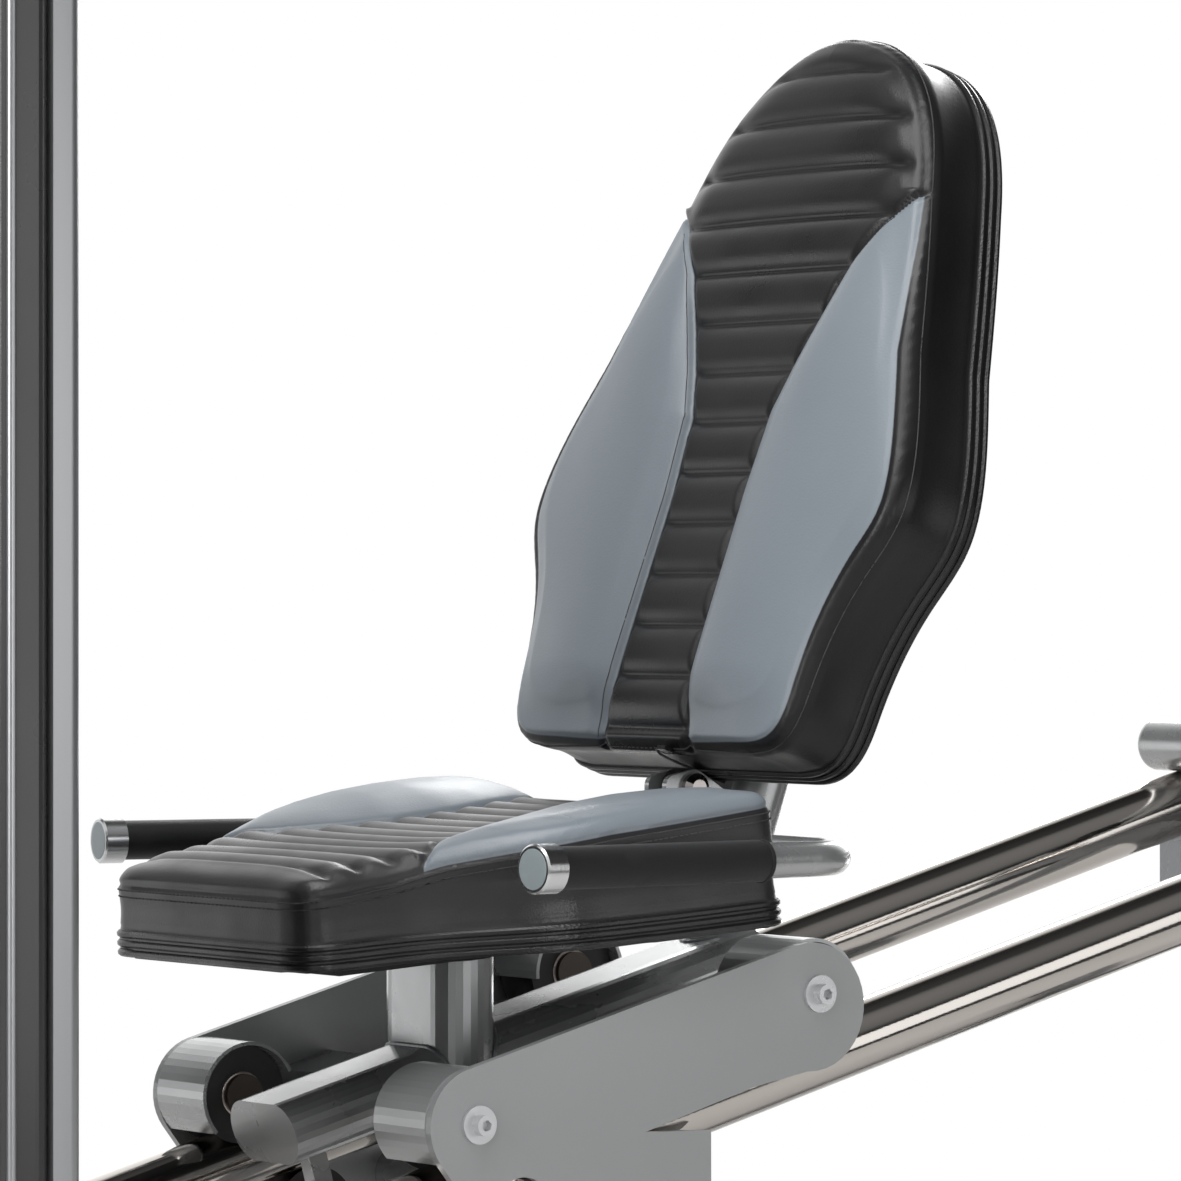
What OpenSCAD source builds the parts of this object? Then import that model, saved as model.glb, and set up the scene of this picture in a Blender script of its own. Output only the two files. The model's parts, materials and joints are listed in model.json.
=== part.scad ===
// Sliding seat of a seated leg press, with its inclined rails and weight tower.
// +X points up the rails, away from the tower; +Y is across the rails; +Z is up.
// The origin is on the floor, below the middle of the machine.

/* [Rails] */
// Slope of the two rails from level, in degrees
slope = 15.6; // [14:0.2:17]
// Half the distance between the rail centres
rail_y = 170; // [165:1:180]
// Wall of the rail tubes
rail_wall = 3; // [2:0.5:5]
// Length of the rails above the handle caps
rail_top = 1130; // [1100:5:1200]

/* [Carriage] */
// Thickness of the carriage side plates
plate_t = 8; // [6:1:10]
// Distance between the front and rear wheel axles
wheel_base = 335; // [330:1:345]
// Width of a carriage wheel
wheel_w = 50; // [44:1:52]
// Radius of the fenders over the wheels
fender_r = 46; // [45:0.5:47]

/* [Seat] */
// Rise of the seat bottom towards the back, in degrees
seat_rise = 4.4; // [3:0.2:6]
// Depth of the seat pad
seat_depth = 400; // [385:5:405]
// Half width of the seat pad at the back
seat_half = 236; // [225:1:240]

/* [Back] */
// Lean of the back pad from upright, in degrees
back_lean = 19.9; // [18:0.1:21]
// Thickness of the back pad
back_t = 88; // [80:1:92]
// Length of the back pad above its bottom centre
back_top = 622; // [600:1:640]
// How far the back pad tilts forward from rest, in degrees
tilt_max = 14; // [10:1:15]

/* [Handles] */
// Half the distance between the two handle caps
cap_y = 335; // [330:1:340]
// Angle at which a handle closes in towards the back
flare = 7.6; // [6:0.2:9]
// Outer radius of a handle tube
bar_r = 14; // [13:0.5:15]

/* [Tower] */
// Height of the tower
tower_h = 1520; // [1480:10:1560]
// Half width of the tower
tower_y = 300; // [295:1:310]
// Number of plates in the weight stack
plates = 12; // [8:1:13]

/* [Hidden] */
$fn = 64;

gap = 0.3;                // running clearance between moving bodies
cap_x = -225;             // handle cap faces, along the machine
cap_z = 560;              // handle height above the floor
rail_r = 28.5;            // standard 57 mm rail tube
rail_z0 = cap_z - 269;    // rail axis height below the cap faces
rail_low = -345;          // lower end of the rails
wheel_u = 45;             // front wheel axle along the rails
wheel_w0 = 57;            // wheel axle above the rail axis
roller_u = 90;            // guide roller axle along the rails
roller_w0 = -58;          // guide roller axle, below the rail axis
wheel_hole = 10.3;        // bore radius of a wheel
axle_r = 10;              // axle radius
throat_r = rail_r + gap;  // hollow of a wheel, which the rail runs in
plate_out = 215;          // outer face of a side plate
plate_in = plate_out - plate_t;
stop_u = 205;             // lower cross tube of the carriage, which meets the stop
stop_w = -68;
stop_r = 22;
cross_u = 1075;           // upper cross tube
cross_r = 24;
spine_u0 = -22;           // front end of the spine tube
spine_u1 = 452;
spine_w0 = 57;            // spine centre above the rail axis
anchor_u = 8;             // cable anchor under the spine
post_x = 128;             // seat post behind the cap faces
seat_x0 = -90;            // front bottom edge of the seat, from the caps
seat_z0 = -86;
bracket_h = 16;
back_x0 = 321;            // front bottom edge of the back pad, from the caps
back_z0 = 92;
pivot_n = 57;             // tilt pivot behind and below that edge, in the pad's frame
pivot_v = -27;
bpost_n = 129;            // back post axis behind the pad's front face
bpost_r = 24;
bpost_top = 420;
lug_x0 = 338;             // front edge of the pivot lug plates, from the caps
lug_in = 10;              // the two lug plates, either side of the swinging tab
lug_out = 16;
tab_half = 9;
pin_v = 150;              // adjuster pin above the pad's bottom
sector_r = norm([bpost_n - pivot_n, pin_v - pivot_v]);
sector_a = atan2(pin_v - pivot_v, bpost_n - pivot_n);
lateral_x = 334;          // cross run of the handle tube behind the seat
bend_r = 60;
grip_len = 212;
grip_r = 16.5;
cap_r = 19.2;
cap_len = 20;
tower_x0 = -925;
tower_x1 = -615;
anchor_x = 200;           // floor anchor holes of the tower base
anchor_y = 400;
anchor_r = 6.5;
post_w = 46;              // tower post along the machine
post_d = 50;
floor_gap = 20;           // height of the rubber feet
foot_x = 895;             // rear foot
stack_x = -825;
plate_h = 22;
pinned = 5;               // plates left resting below the selector pin
stack_travel = 565;       // how far the stack rises at the end of the press
slot_top = 385;           // top of the finger opening in the front cover
stack_z0 = 80;
stack_top = stack_z0 + plates * plate_h;
rod_y = 110;
pulley_r = 50;
cable_r = 3;
riser_x = stack_x + 2 * pulley_r;
base_pulley_u = -453;     // base pulley centre, over the line of the cable
top_pulley_z = 1400;
pulley_w = 22;

function at_rail(u, w) = [cap_x + u * cos(slope) - w * sin(slope),
    rail_z0 + u * sin(slope) + w * cos(slope)];
function arc(cx, cy, r, a0, a1, n = 16) =
    [for (i = [0:n]) [cx + r * cos(a0 + (a1 - a0) * i / n), cy + r * sin(a0 + (a1 - a0) * i / n)]];
function bez(p, t) = pow(1 - t, 3) * p[0] + 3 * t * pow(1 - t, 2) * p[1]
    + 3 * t * t * (1 - t) * p[2] + pow(t, 3) * p[3];
function curve(p, n = 7) = [for (i = [0:n]) bez(p, i / n)];
function mirrored(pts) = [for (i = [len(pts) - 1:-1:0]) [-pts[i][0], pts[i][1]]];

base_pulley_xz = [at_rail(base_pulley_u, pulley_r)[0], at_rail(base_pulley_u, pulley_r)[1]];

// Half outline of the back pad: across, then up
back_half = concat(
    curve([[150, -10], [188, -10], [203, 5], [206, 40]]),
    curve([[206, 40], [210, 88], [222, 118], [236, 142]]),
    curve([[236, 142], [252, 168], [262, 182], [262, 206]]),
    curve([[262, 206], [262, 244], [240, 292], [222, 335]]),
    curve([[222, 335], [205, 390], [192, 430], [172, 482]]),
    curve([[172, 482], [150, 545], [105, back_top], [0, back_top]]));

// Half outline of the seat pad: back from the front edge, then across
seat_edge = concat(
    curve([[0, 118], [0, 148], [8, 158], [42, 160]]),
    curve([[42, 160], [150, 160], [140, seat_half - 12], [250, seat_half - 3]]),
    curve([[250, seat_half - 3], [290, seat_half + 2], [335, seat_half + 2], [seat_depth - 26, seat_half]]),
    curve([[seat_depth - 26, seat_half], [seat_depth - 8, seat_half - 1], [seat_depth, seat_half - 10],
        [seat_depth, seat_half - 32]]));

// Sector of the tilt adjuster and its slot, round the pivot
sector_outline = concat(arc(0, 0, sector_r + 16, sector_a - tilt_max - 8, sector_a + 17, 16),
    arc(0, 0, sector_r - 16, sector_a + 17, sector_a - tilt_max - 8, 16));
slot_outline = concat(arc(0, 0, sector_r + 5.6, sector_a - tilt_max, sector_a, 10),
    arc(sector_r * cos(sector_a), sector_r * sin(sector_a), 5.6, sector_a + 20, sector_a + 160, 7),
    arc(0, 0, sector_r - 5.6, sector_a, sector_a - tilt_max, 10),
    arc(sector_r * cos(sector_a - tilt_max), sector_r * sin(sector_a - tilt_max), 5.6,
        sector_a - tilt_max + 200, sector_a - tilt_max + 340, 7));

module on_rails() translate([cap_x, 0, rail_z0]) rotate([0, -slope, 0]) children();
module at_caps() translate([cap_x, 0, cap_z]) children();
module on_seat() translate([cap_x + seat_x0, 0, cap_z + seat_z0]) rotate([0, -seat_rise, 0]) children();
module on_back() translate([cap_x + back_x0, 0, cap_z + back_z0]) rotate([0, back_lean, 0]) children();

// A cylinder along Y from y0 to y1 at (x, z)
module rod_y_at(x, z, r, y0, y1) translate([x, y0, z]) rotate([-90, 0, 0]) cylinder(h = y1 - y0, r = r);
// A plate in the XZ plane, from y0 to y1
module plate_y(pts, y0, y1) translate([0, y1, 0]) rotate([90, 0, 0]) linear_extrude(y1 - y0) polygon(pts);
// The same piece on both sides
module both_sides() {
    children();
    mirror([0, 1, 0]) children();
}
module box_at(x0, x1, y0, y1, z0, z1) translate([x0, y0, z0]) cube([x1 - x0, y1 - y0, z1 - z0]);
// A box along X with rounded long edges
module bar_x(x0, x1, w, h, r) translate([x0, 0, 0]) rotate([90, 0, 90]) linear_extrude(x1 - x0)
    polygon(concat(arc(w / 2 - r, h / 2 - r, r, 0, 90, 6), arc(r - w / 2, h / 2 - r, r, 90, 180, 6),
        arc(r - w / 2, r - h / 2, r, 180, 270, 6), arc(w / 2 - r, r - h / 2, r, 270, 360, 6)));
// An upright post with rounded edges, centred on its foot
module post_z(wx, wy, h, r) linear_extrude(h)
    polygon(concat(arc(wx / 2 - r, wy / 2 - r, r, 0, 90, 8), arc(r - wx / 2, wy / 2 - r, r, 90, 180, 8),
        arc(r - wx / 2, r - wy / 2, r, 180, 270, 8), arc(wx / 2 - r, r - wy / 2, r, 270, 360, 8)));

module rail() translate([0, rail_y, 0]) rotate([0, 90, 0]) translate([0, 0, rail_low]) difference() {
    cylinder(h = rail_top - rail_low, r = rail_r);
    translate([0, 0, -1]) cylinder(h = rail_top - rail_low + 2, r = rail_r - rail_wall);
}
module rail_left() color([0.55, 0.53, 0.51]) on_rails() mirror([0, 1, 0]) rail();
module rail_right() color([0.55, 0.53, 0.51]) on_rails() rail();
module rail_plugs() color([0.1, 0.1, 0.1]) on_rails() both_sides()
    translate([rail_top - 20, rail_y, 0]) rotate([0, 90, 0]) {
        cylinder(h = 20, r = rail_r - rail_wall);
        translate([0, 0, 20]) cylinder(h = 4, r = rail_r);
    }

// The cross tube lies on both rails and closes with rounded ends
module upper_cross_tube() color([0.55, 0.56, 0.58]) on_rails() translate([cross_u, 0, rail_r + cross_r])
    rotate([90, 0, 0]) rotate_extrude() polygon(concat([[0, -200]], arc(cross_r - 9, -191, 9, -90, 0, 5),
        arc(cross_r - 9, 191, 9, 0, 90, 5), [[0, 200]]));
module bumper(len) rotate([0, 90, 0]) {
    cylinder(h = len - 6, r = 18);
    translate([0, 0, len - 6]) cylinder(h = 6, r = 15);
}
module rubber_stops() color([0.08, 0.08, 0.08]) on_rails() {
    translate([stop_u - stop_r - gap - 24, 0, stop_w]) bumper(24);
    both_sides() translate([cross_u - cross_r + 4, 28, rail_r + cross_r]) mirror([1, 0, 0]) difference() {
        bumper(34);
        rod_y_at(-cross_r + 4, 0, cross_r, -40, 40);
    }
}

// Quarter-cut tube that carries the lower ends of the rails
module front_crossmember() {
    lo = at_rail(rail_low, -34);
    hi = at_rail(rail_low, 34);
    color([0.45, 0.46, 0.48]) difference() {
        plate_y([[tower_x1, lo[1]], lo, hi, [tower_x1, hi[1]]], -tower_y, tower_y);
        on_rails() translate([rail_low - 90, 0, 0]) rotate([0, 90, 0]) cylinder(h = 120, r = 14);
    }
}
module base_beam() color([0.45, 0.46, 0.48]) translate([0, 0, floor_gap + 30])
    bar_x(tower_x1, foot_x - 30, 80, 60, 10);
module rear_foot() color([0.45, 0.46, 0.48]) translate([foot_x, 0, floor_gap + 30]) rotate([0, 0, 90])
    bar_x(-tower_y, tower_y, 60, 60, 10);
module foot_pads() color([0.08, 0.08, 0.08]) both_sides() {
    for (x = [tower_x0 + 40, tower_x1 - 40]) translate([x, tower_y - 40, 0]) cylinder(h = floor_gap, r = 28);
    translate([foot_x, tower_y - 40, 0]) cylinder(h = floor_gap, r = 28);
}
// Rear post and the saddle bar that the rails are welded to
module rear_post() color([0.45, 0.46, 0.48]) {
    top = at_rail(rail_top - 40, -rail_r);
    difference() {
        union() {
            translate([top[0], 0, floor_gap + 60]) post_z(60, 80, top[1] - floor_gap - 60, 10);
            plate_y([[top[0] - 30, top[1] - 70], [top[0] + 30, top[1] - 70],
                [top[0] + 30, top[1] + 30], [top[0] - 30, top[1] + 30]], -rail_y - 30, rail_y + 30);
        }
        on_rails() translate([rail_top - 160, -300, -rail_r]) cube([300, 600, 200]);
    }
}
module stop_post() color([0.45, 0.46, 0.48]) {
    u = stop_u - stop_r - gap - 24;
    plate_y([at_rail(u, stop_w - 26), at_rail(u, stop_w + 26),
        [at_rail(u, stop_w + 26)[0] - 55, at_rail(u, stop_w + 26)[1] - 20],
        [at_rail(u, stop_w + 26)[0] - 55, floor_gap + 60],
        [at_rail(u, stop_w - 26)[0], floor_gap + 60]], -25, 25);
}

module tower_post() color([0.2, 0.2, 0.2])
    translate([tower_x1 - post_w / 2, tower_y - post_d / 2, floor_gap + 20])
        post_z(post_w, post_d, tower_h - 70 - floor_gap, 16);
module tower_post_left() mirror([0, 1, 0]) tower_post();
module tower_post_right() tower_post();
module side_panel() color([0.55, 0.57, 0.58])
    box_at(tower_x0 + 5, tower_x1 - post_w, tower_y - 12, tower_y - 4, floor_gap + 20, tower_h - 50);
module side_panel_left() mirror([0, 1, 0]) side_panel();
module side_panel_right() side_panel();
module front_cover() color([0.2, 0.2, 0.2]) difference() {
    box_at(tower_x0, tower_x0 + 5, 4 - tower_y, tower_y - 4, floor_gap + 20, tower_h - 50);
    // Finger opening at the plates, and the narrow slot that the pin rises in
    box_at(tower_x0 - 1, tower_x0 + 6, -55, 55, 95, slot_top);
    box_at(tower_x0 - 1, tower_x0 + 6, -22, 22, slot_top - 1, slot_top + stack_travel);
    for (z = [480:120:1320], side = [-1, 1]) translate([tower_x0 - 1, side * 125, z])
        rotate([90, 0, 90]) linear_extrude(7)
            polygon(concat(arc(55, 0, 8, -90, 90, 8), arc(-55, 0, 8, 90, 270, 8)));
}
module tower_top() color([0.2, 0.2, 0.2])
    translate([(tower_x0 + tower_x1) / 2, 0, tower_h - 50]) post_z(tower_x1 - tower_x0, 2 * tower_y, 50, 24);
module tower_base() color([0.2, 0.2, 0.2]) translate([(tower_x0 + tower_x1) / 2, 0, floor_gap]) difference() {
    post_z(tower_x1 - tower_x0, 2 * tower_y, 20, 24);
    for (x = [-anchor_x / 2, anchor_x / 2], y = [-anchor_y / 2, anchor_y / 2])
        translate([x, y, -1]) cylinder(h = 22, r = anchor_r);
}
module guide_rods() color([0.75, 0.75, 0.76]) both_sides()
    translate([stack_x, rod_y, floor_gap + 20]) cylinder(h = tower_h - 70 - floor_gap, r = 10);
module stack_cushions() color([0.08, 0.08, 0.08]) both_sides()
    translate([stack_x, rod_y, floor_gap + 20]) difference() {
        cylinder(h = stack_z0 - floor_gap - 20, r = 26);
        translate([0, 0, -1]) cylinder(h = 60, r = 10);
    }
module foot_plate() color([0.16, 0.16, 0.17]) translate([tower_x1 - 26, 0, 550]) rotate([90, 0, 90])
    linear_extrude(16) polygon(concat(arc(195, 155, 25, 0, 90, 8), arc(-195, 155, 25, 90, 180, 8),
        arc(-195, -155, 25, 180, 270, 8), arc(195, -155, 25, 270, 360, 8)));
module foot_plate_bars() color([0.2, 0.2, 0.2]) for (z = [430, 670])
    box_at(tower_x1 - post_w, tower_x1 - 26, post_d - tower_y, tower_y - post_d, z - 25, z + 25);
// Two cheeks and an axle at each pulley
module pulley_cheeks(x, z, z0, z1) {
    both_sides() box_at(x - 25, x + 25, 15, 21, z0, z1);
    rod_y_at(x, z, 8, -15, 15);
}
module pulley_brackets() color([0.3, 0.3, 0.3]) {
    pulley_cheeks(riser_x - pulley_r, top_pulley_z, top_pulley_z - 20, tower_h - 50);
    pulley_cheeks(base_pulley_xz[0], base_pulley_xz[1], floor_gap + 20, base_pulley_xz[1] + 22);
}

// Steel cable from the carriage, round the base pulley, over the top pulley and down to the stack
module cable_low() color([0.15, 0.15, 0.15]) on_rails() translate([base_pulley_u, 0, 0])
    rotate([0, 90, 0]) cylinder(h = anchor_u - gap - base_pulley_u, r = cable_r, $fn = 24);
module cable_riser() color([0.15, 0.15, 0.15])
    translate([riser_x, 0, base_pulley_xz[1]]) cylinder(h = top_pulley_z - base_pulley_xz[1], r = cable_r, $fn = 24);
module cable_drop() color([0.15, 0.15, 0.15])
    translate([stack_x, 0, stack_top + 62]) cylinder(h = top_pulley_z - stack_top - 62, r = cable_r, $fn = 24);

// Side plate: two lobes over the wheel axles and one below the rail for the guide roller
plate_front = arc(wheel_u + 2, 55, fender_r, 90, 201, 14);
plate_rear = arc(wheel_u + wheel_base - 10, 49, 51.5, -110, 90, 20);
plate_low = arc(roller_u, roller_w0, 44, 201, 270, 10);
module side_plate() color([0.57, 0.58, 0.59]) on_rails() difference() {
    plate_y(concat(plate_front, plate_low, [[217, -101], [229, -95], [251, -15], [190, 3], [300, 5]],
        plate_rear), plate_in, plate_out);
    rod_y_at(66, -20, 26, plate_in - 1, plate_out + 1);
    for (u = [wheel_u, wheel_u + wheel_base]) rod_y_at(u, wheel_w0, 5.2, plate_in - 1, plate_out + 1);
    rod_y_at(roller_u, roller_w0, 5.2, plate_in - 1, plate_out + 1);
}
module side_plate_left() mirror([0, 1, 0]) side_plate();
module side_plate_right() side_plate();

// A rolled sheet over a wheel, open on its inner side and below
module fender(a0, a1) translate([0, 0, wheel_w0]) rotate([-90, 0, 0]) translate([0, 0, 132])
    linear_extrude(plate_in - 132) polygon(concat(
        [for (p = arc(0, 0, fender_r - 2, a0, a1, 24)) [p[0], -p[1]]],
        [for (p = arc(0, 0, fender_r - 5, a1, a0, 24)) [p[0], -p[1]]]));
module front_fenders() color([0.56, 0.57, 0.57]) on_rails() both_sides() translate([wheel_u, 0, 0]) fender(10, 208);
module rear_fenders() color([0.56, 0.57, 0.57]) on_rails() both_sides()
    translate([wheel_u + wheel_base, 0, 0]) fender(-28, 170);

module spine_section(r) polygon(concat(arc(25, spine_w0, r, -90, 90, 14), arc(-25, spine_w0, r, 90, 270, 14)));
module spine_body() translate([spine_u0, 0, 0]) rotate([90, 0, 90]) linear_extrude(spine_u1 - spine_u0)
    spine_section(25);
module spine_tube() color([0.5, 0.51, 0.53]) on_rails() {
    difference() {
        spine_body();
        translate([spine_u0 + 4, 0, 0]) rotate([90, 0, 90]) linear_extrude(spine_u1 - spine_u0 - 8) spine_section(22);
    }
    box_at(anchor_u, anchor_u + 16, -8, 8, -14, 32);
}
module cross_bars() color([0.5, 0.51, 0.53]) on_rails() {
    difference() {
        for (u = [118, 262]) box_at(u, u + 50, -plate_in, plate_in, rail_r + 4, 52);
        spine_body();
    }
    rod_y_at(stop_u, stop_w, stop_r, -plate_in, plate_in);
}
// Stub axles: a shank through the wheel, with a retaining head on its inner end
module axle(head_y) {
    rod_y_at(0, 0, axle_r, head_y + 5, plate_in);
    rod_y_at(0, 0, 17, head_y, head_y + 5);
}
module axles() color([0.6, 0.6, 0.6]) on_rails() both_sides() {
    for (u = [wheel_u, wheel_u + wheel_base]) translate([u, 0, wheel_w0]) difference() {
        axle(rail_y - wheel_w / 2 - 6);
        rod_y_at(0, 0, 5, plate_in - 24, plate_in + 1);
    }
    translate([roller_u, 0, roller_w0]) difference() {
        axle(rail_y - wheel_w / 2 - 6);
        rod_y_at(0, 0, 5, plate_in - 24, plate_in + 1);
    }
}
// Socket-head screws with a round washer
module axle_screw() difference() {
    union() {
        rod_y_at(0, 0, 5, plate_in - 20, plate_out);
        rod_y_at(0, 0, 15, plate_out, plate_out + 3);
        rod_y_at(0, 0, 8, plate_out + 3, plate_out + 12);
    }
    translate([0, plate_out + 6, 0]) rotate([-90, 0, 0]) cylinder(h = 7, r = 4.6, $fn = 6);
}
module axle_screws() color([0.7, 0.72, 0.73]) on_rails() both_sides() {
    for (u = [wheel_u, wheel_u + wheel_base]) translate([u, 0, wheel_w0]) axle_screw();
    translate([roller_u, 0, roller_w0]) axle_screw();
}

module oval_z(w, d, h) linear_extrude(h) polygon(concat(
    arc(0, w / 2 - d / 2, d / 2, 0, 180, 14), arc(0, d / 2 - w / 2, d / 2, 180, 360, 14)));
// Seat post: a flat oval that saddles over the spine and is cut to the seat's bottom
module seat_post() color([0.5, 0.51, 0.53]) difference() {
    at_caps() translate([post_x, 0, -240]) oval_z(114, 55, 220);
    on_rails() spine_body();
    on_rails() box_at(-50, 400, -100, 100, -200, spine_w0);
    on_seat() box_at(0, 500, -100, 100, -bracket_h, 100);
}
module seat_bracket() color([0.08, 0.08, 0.08]) on_seat() difference() {
    plate_y([[92, 0], [84, -4], [84, -10], [92, -bracket_h], [360, -bracket_h], [360, 0]], -50, 50);
    for (x = [110, 330]) translate([x, 0, -bracket_h - 1]) cylinder(h = bracket_h + 2, r = 4.2);
}
// Seat pad: the plan outline met by the side outline, which rises to the back
module seat_pad() color([0.25, 0.25, 0.26]) on_seat() intersection() {
    linear_extrude(130) polygon(concat(seat_edge, [for (i = [len(seat_edge) - 1:-1:0])
        [seat_edge[i][0], -seat_edge[i][1]]]));
    plate_y(concat([[0, 0], [seat_depth, 0]], arc(seat_depth - 14, 88, 14, 0, 80, 5),
        curve([[372, 102], [300, 112], [190, 108], [100, 90]]), arc(24, 64, 24, 90, 180, 6)), -260, 260);
}

// Handle tube: grip length, bend, and cross run to the lug behind the seat
corner_y = cap_y - lateral_x * tan(flare);
tangent = bend_r * tan((90 - flare) / 2);
bar_len = lateral_x / cos(flare) - tangent;
bend_y = corner_y - tangent;
module along_bar() translate([0, cap_y, 0]) rotate([0, 0, -flare]) rotate([0, 90, 0]) children();
module handle() color([0.5, 0.52, 0.53]) at_caps() {
    along_bar() translate([0, 0, 4]) cylinder(h = bar_len - 3, r = bar_r);
    translate([lateral_x - bend_r, bend_y, 0]) rotate_extrude(angle = 90 - flare)
        translate([bend_r, 0]) circle(r = bar_r - 0.1);
    rod_y_at(lateral_x, 0, bar_r, lug_out, bend_y + 1);
}
module handle_left() mirror([0, 1, 0]) handle();
module handle_right() handle();
module grip() color([0.12, 0.12, 0.12]) at_caps() along_bar() translate([0, 0, cap_len]) difference() {
    cylinder(h = grip_len, r = grip_r);
    translate([0, 0, -1]) cylinder(h = grip_len + 2, r = bar_r);
}
module grip_left() mirror([0, 1, 0]) grip();
module grip_right() grip();
module handle_caps() color([0.75, 0.77, 0.78]) at_caps() both_sides() along_bar() difference() {
    union() {
        cylinder(h = 1.5, r1 = cap_r - 1.5, r2 = cap_r);
        translate([0, 0, 1.5]) cylinder(h = cap_len - 1.5, r = cap_r);
    }
    translate([0, 0, 4]) cylinder(h = cap_len, r = bar_r);
    translate([0, 0, 12]) rotate([0, 90, 0]) cylinder(h = 30, r = 2, center = false);
}

// Back post: a round tube that leans with the pad, with a threaded boss for the clamp knob
module back_post() color([0.5, 0.51, 0.53]) difference() {
    union() {
        difference() {
            on_back() translate([bpost_n, 0, -220]) cylinder(h = 220 + bpost_top, r = bpost_r);
            on_back() translate([bpost_n, 0, -221]) cylinder(h = 215 + bpost_top, r = bpost_r - 3);
        }
        on_back() difference() {
            rod_y_at(bpost_n, pin_v, 12, 0, 26 - gap);
            translate([bpost_n, 0, pin_v - 80]) cylinder(h = 160, r = bpost_r - 3);
        }
    }
    on_rails() box_at(0, 700, -60, 60, -300, spine_w0 + 25);
    on_back() rod_y_at(bpost_n, pin_v, 5 + gap, 0, 60);
}
module pivot_lug() color([0.45, 0.46, 0.48]) difference() {
    both_sides() at_caps() plate_y(concat([[lug_x0, -18], [410, -18], [410, 36]],
        arc(365.4, 47.2, 15, 55, 100, 6), arc(lug_x0 + 9, 49, 9, 100, 180, 6)), lug_in, lug_out);
    on_back() rod_y_at(pivot_n, pivot_v, 8, -lug_out - 1, lug_out + 1);
    on_back() translate([bpost_n, 0, -220]) cylinder(h = 640, r = bpost_r);
}
module pivot_bolt() color([0.35, 0.35, 0.36]) on_back() {
    rod_y_at(pivot_n, pivot_v, 8, -lug_out, lug_out);
    rod_y_at(pivot_n, pivot_v, 12, -lug_out - 5, -lug_out);
    translate([pivot_n, -lug_out - 5, pivot_v]) rotate([90, 0, 0]) cylinder(h = 4, r1 = 12, r2 = 7);
    rod_y_at(pivot_n, pivot_v, 12, lug_out, lug_out + 9);
}
// Swinging back frame: a tab between the lug plates, the strap behind the pad and the slotted sector
module back_frame() color([0.12, 0.12, 0.12]) on_back() {
    difference() {
        union() {
            rod_y_at(pivot_n, pivot_v, 15.5, -tab_half, tab_half);
            plate_y([[pivot_n - 6, pivot_v], [pivot_n + 9, pivot_v - 11], [back_t + 10, -20],
                [back_t + 10, 70], [back_t + 2, 70], [back_t + 2, -12.5], [pivot_n - 6, -12.5]],
                -tab_half, tab_half);
        }
        rod_y_at(pivot_n, pivot_v, 8 + gap, -tab_half - 1, tab_half + 1);
    }
    box_at(back_t, back_t + 8, -22, 22, 20, 420);
    box_at(back_t, back_t + 8, 20, 33, pin_v - 30, pin_v + 45);
    difference() {
        translate([pivot_n, 0, pivot_v]) plate_y(sector_outline, 26, 35);
        translate([pivot_n, 0, pivot_v]) plate_y(slot_outline, 25, 36);
        box_at(0, back_t + 4, 24, 38, 0, 300);
    }
}
module back_pad() color([0.5, 0.54, 0.56]) on_back() rotate([90, 0, 90]) linear_extrude(back_t)
    polygon(concat(back_half, mirrored(back_half)));
// Clamp knob: a stud through the sector's slot, with a five-lobed head
module tilt_knob() color([0.1, 0.1, 0.1]) on_back() {
    rod_y_at(bpost_n, pin_v, 5, 12, 36);
    rod_y_at(bpost_n, pin_v, 14, 35.5, 58);
    for (a = [0:72:288]) rod_y_at(bpost_n + 12 * cos(a), pin_v + 12 * sin(a), 7, 38, 56);
}

// Wheel with a hollow running face that fits the rail
module wheel() rotate([-90, 0, 0]) rotate_extrude() difference() {
    translate([wheel_hole, -wheel_w / 2]) square([40 - wheel_hole, wheel_w]);
    translate([wheel_w0, 0]) circle(r = throat_r);
}
module wheel_at(side, u, w) color([0.1, 0.1, 0.1]) on_rails() translate([u, side * rail_y, w]) wheel();
module wheel_front_left() wheel_at(-1, wheel_u, wheel_w0);
module wheel_front_right() wheel_at(1, wheel_u, wheel_w0);
module wheel_rear_left() wheel_at(-1, wheel_u + wheel_base, wheel_w0);
module wheel_rear_right() wheel_at(1, wheel_u + wheel_base, wheel_w0);
module roller() rotate([-90, 0, 0]) rotate_extrude() difference() {
    translate([wheel_hole, -20]) square([36 - wheel_hole, 40]);
    translate([-roller_w0, 0]) circle(r = throat_r);
}
module guide_roller_left() color([0.1, 0.1, 0.1]) on_rails() translate([roller_u, -rail_y, roller_w0]) roller();
module guide_roller_right() color([0.1, 0.1, 0.1]) on_rails() translate([roller_u, rail_y, roller_w0]) roller();

module pulley() rotate([-90, 0, 0]) rotate_extrude() difference() {
    translate([8 + gap, -pulley_w / 2]) square([pulley_r - 8 - gap, pulley_w]);
    translate([pulley_r + 3, 0]) circle(r = 7);
}
module base_pulley() color([0.12, 0.12, 0.12]) translate([base_pulley_xz[0], 0, base_pulley_xz[1]]) pulley();
module top_pulley() color([0.12, 0.12, 0.12]) translate([riser_x - pulley_r, 0, top_pulley_z]) pulley();

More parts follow.
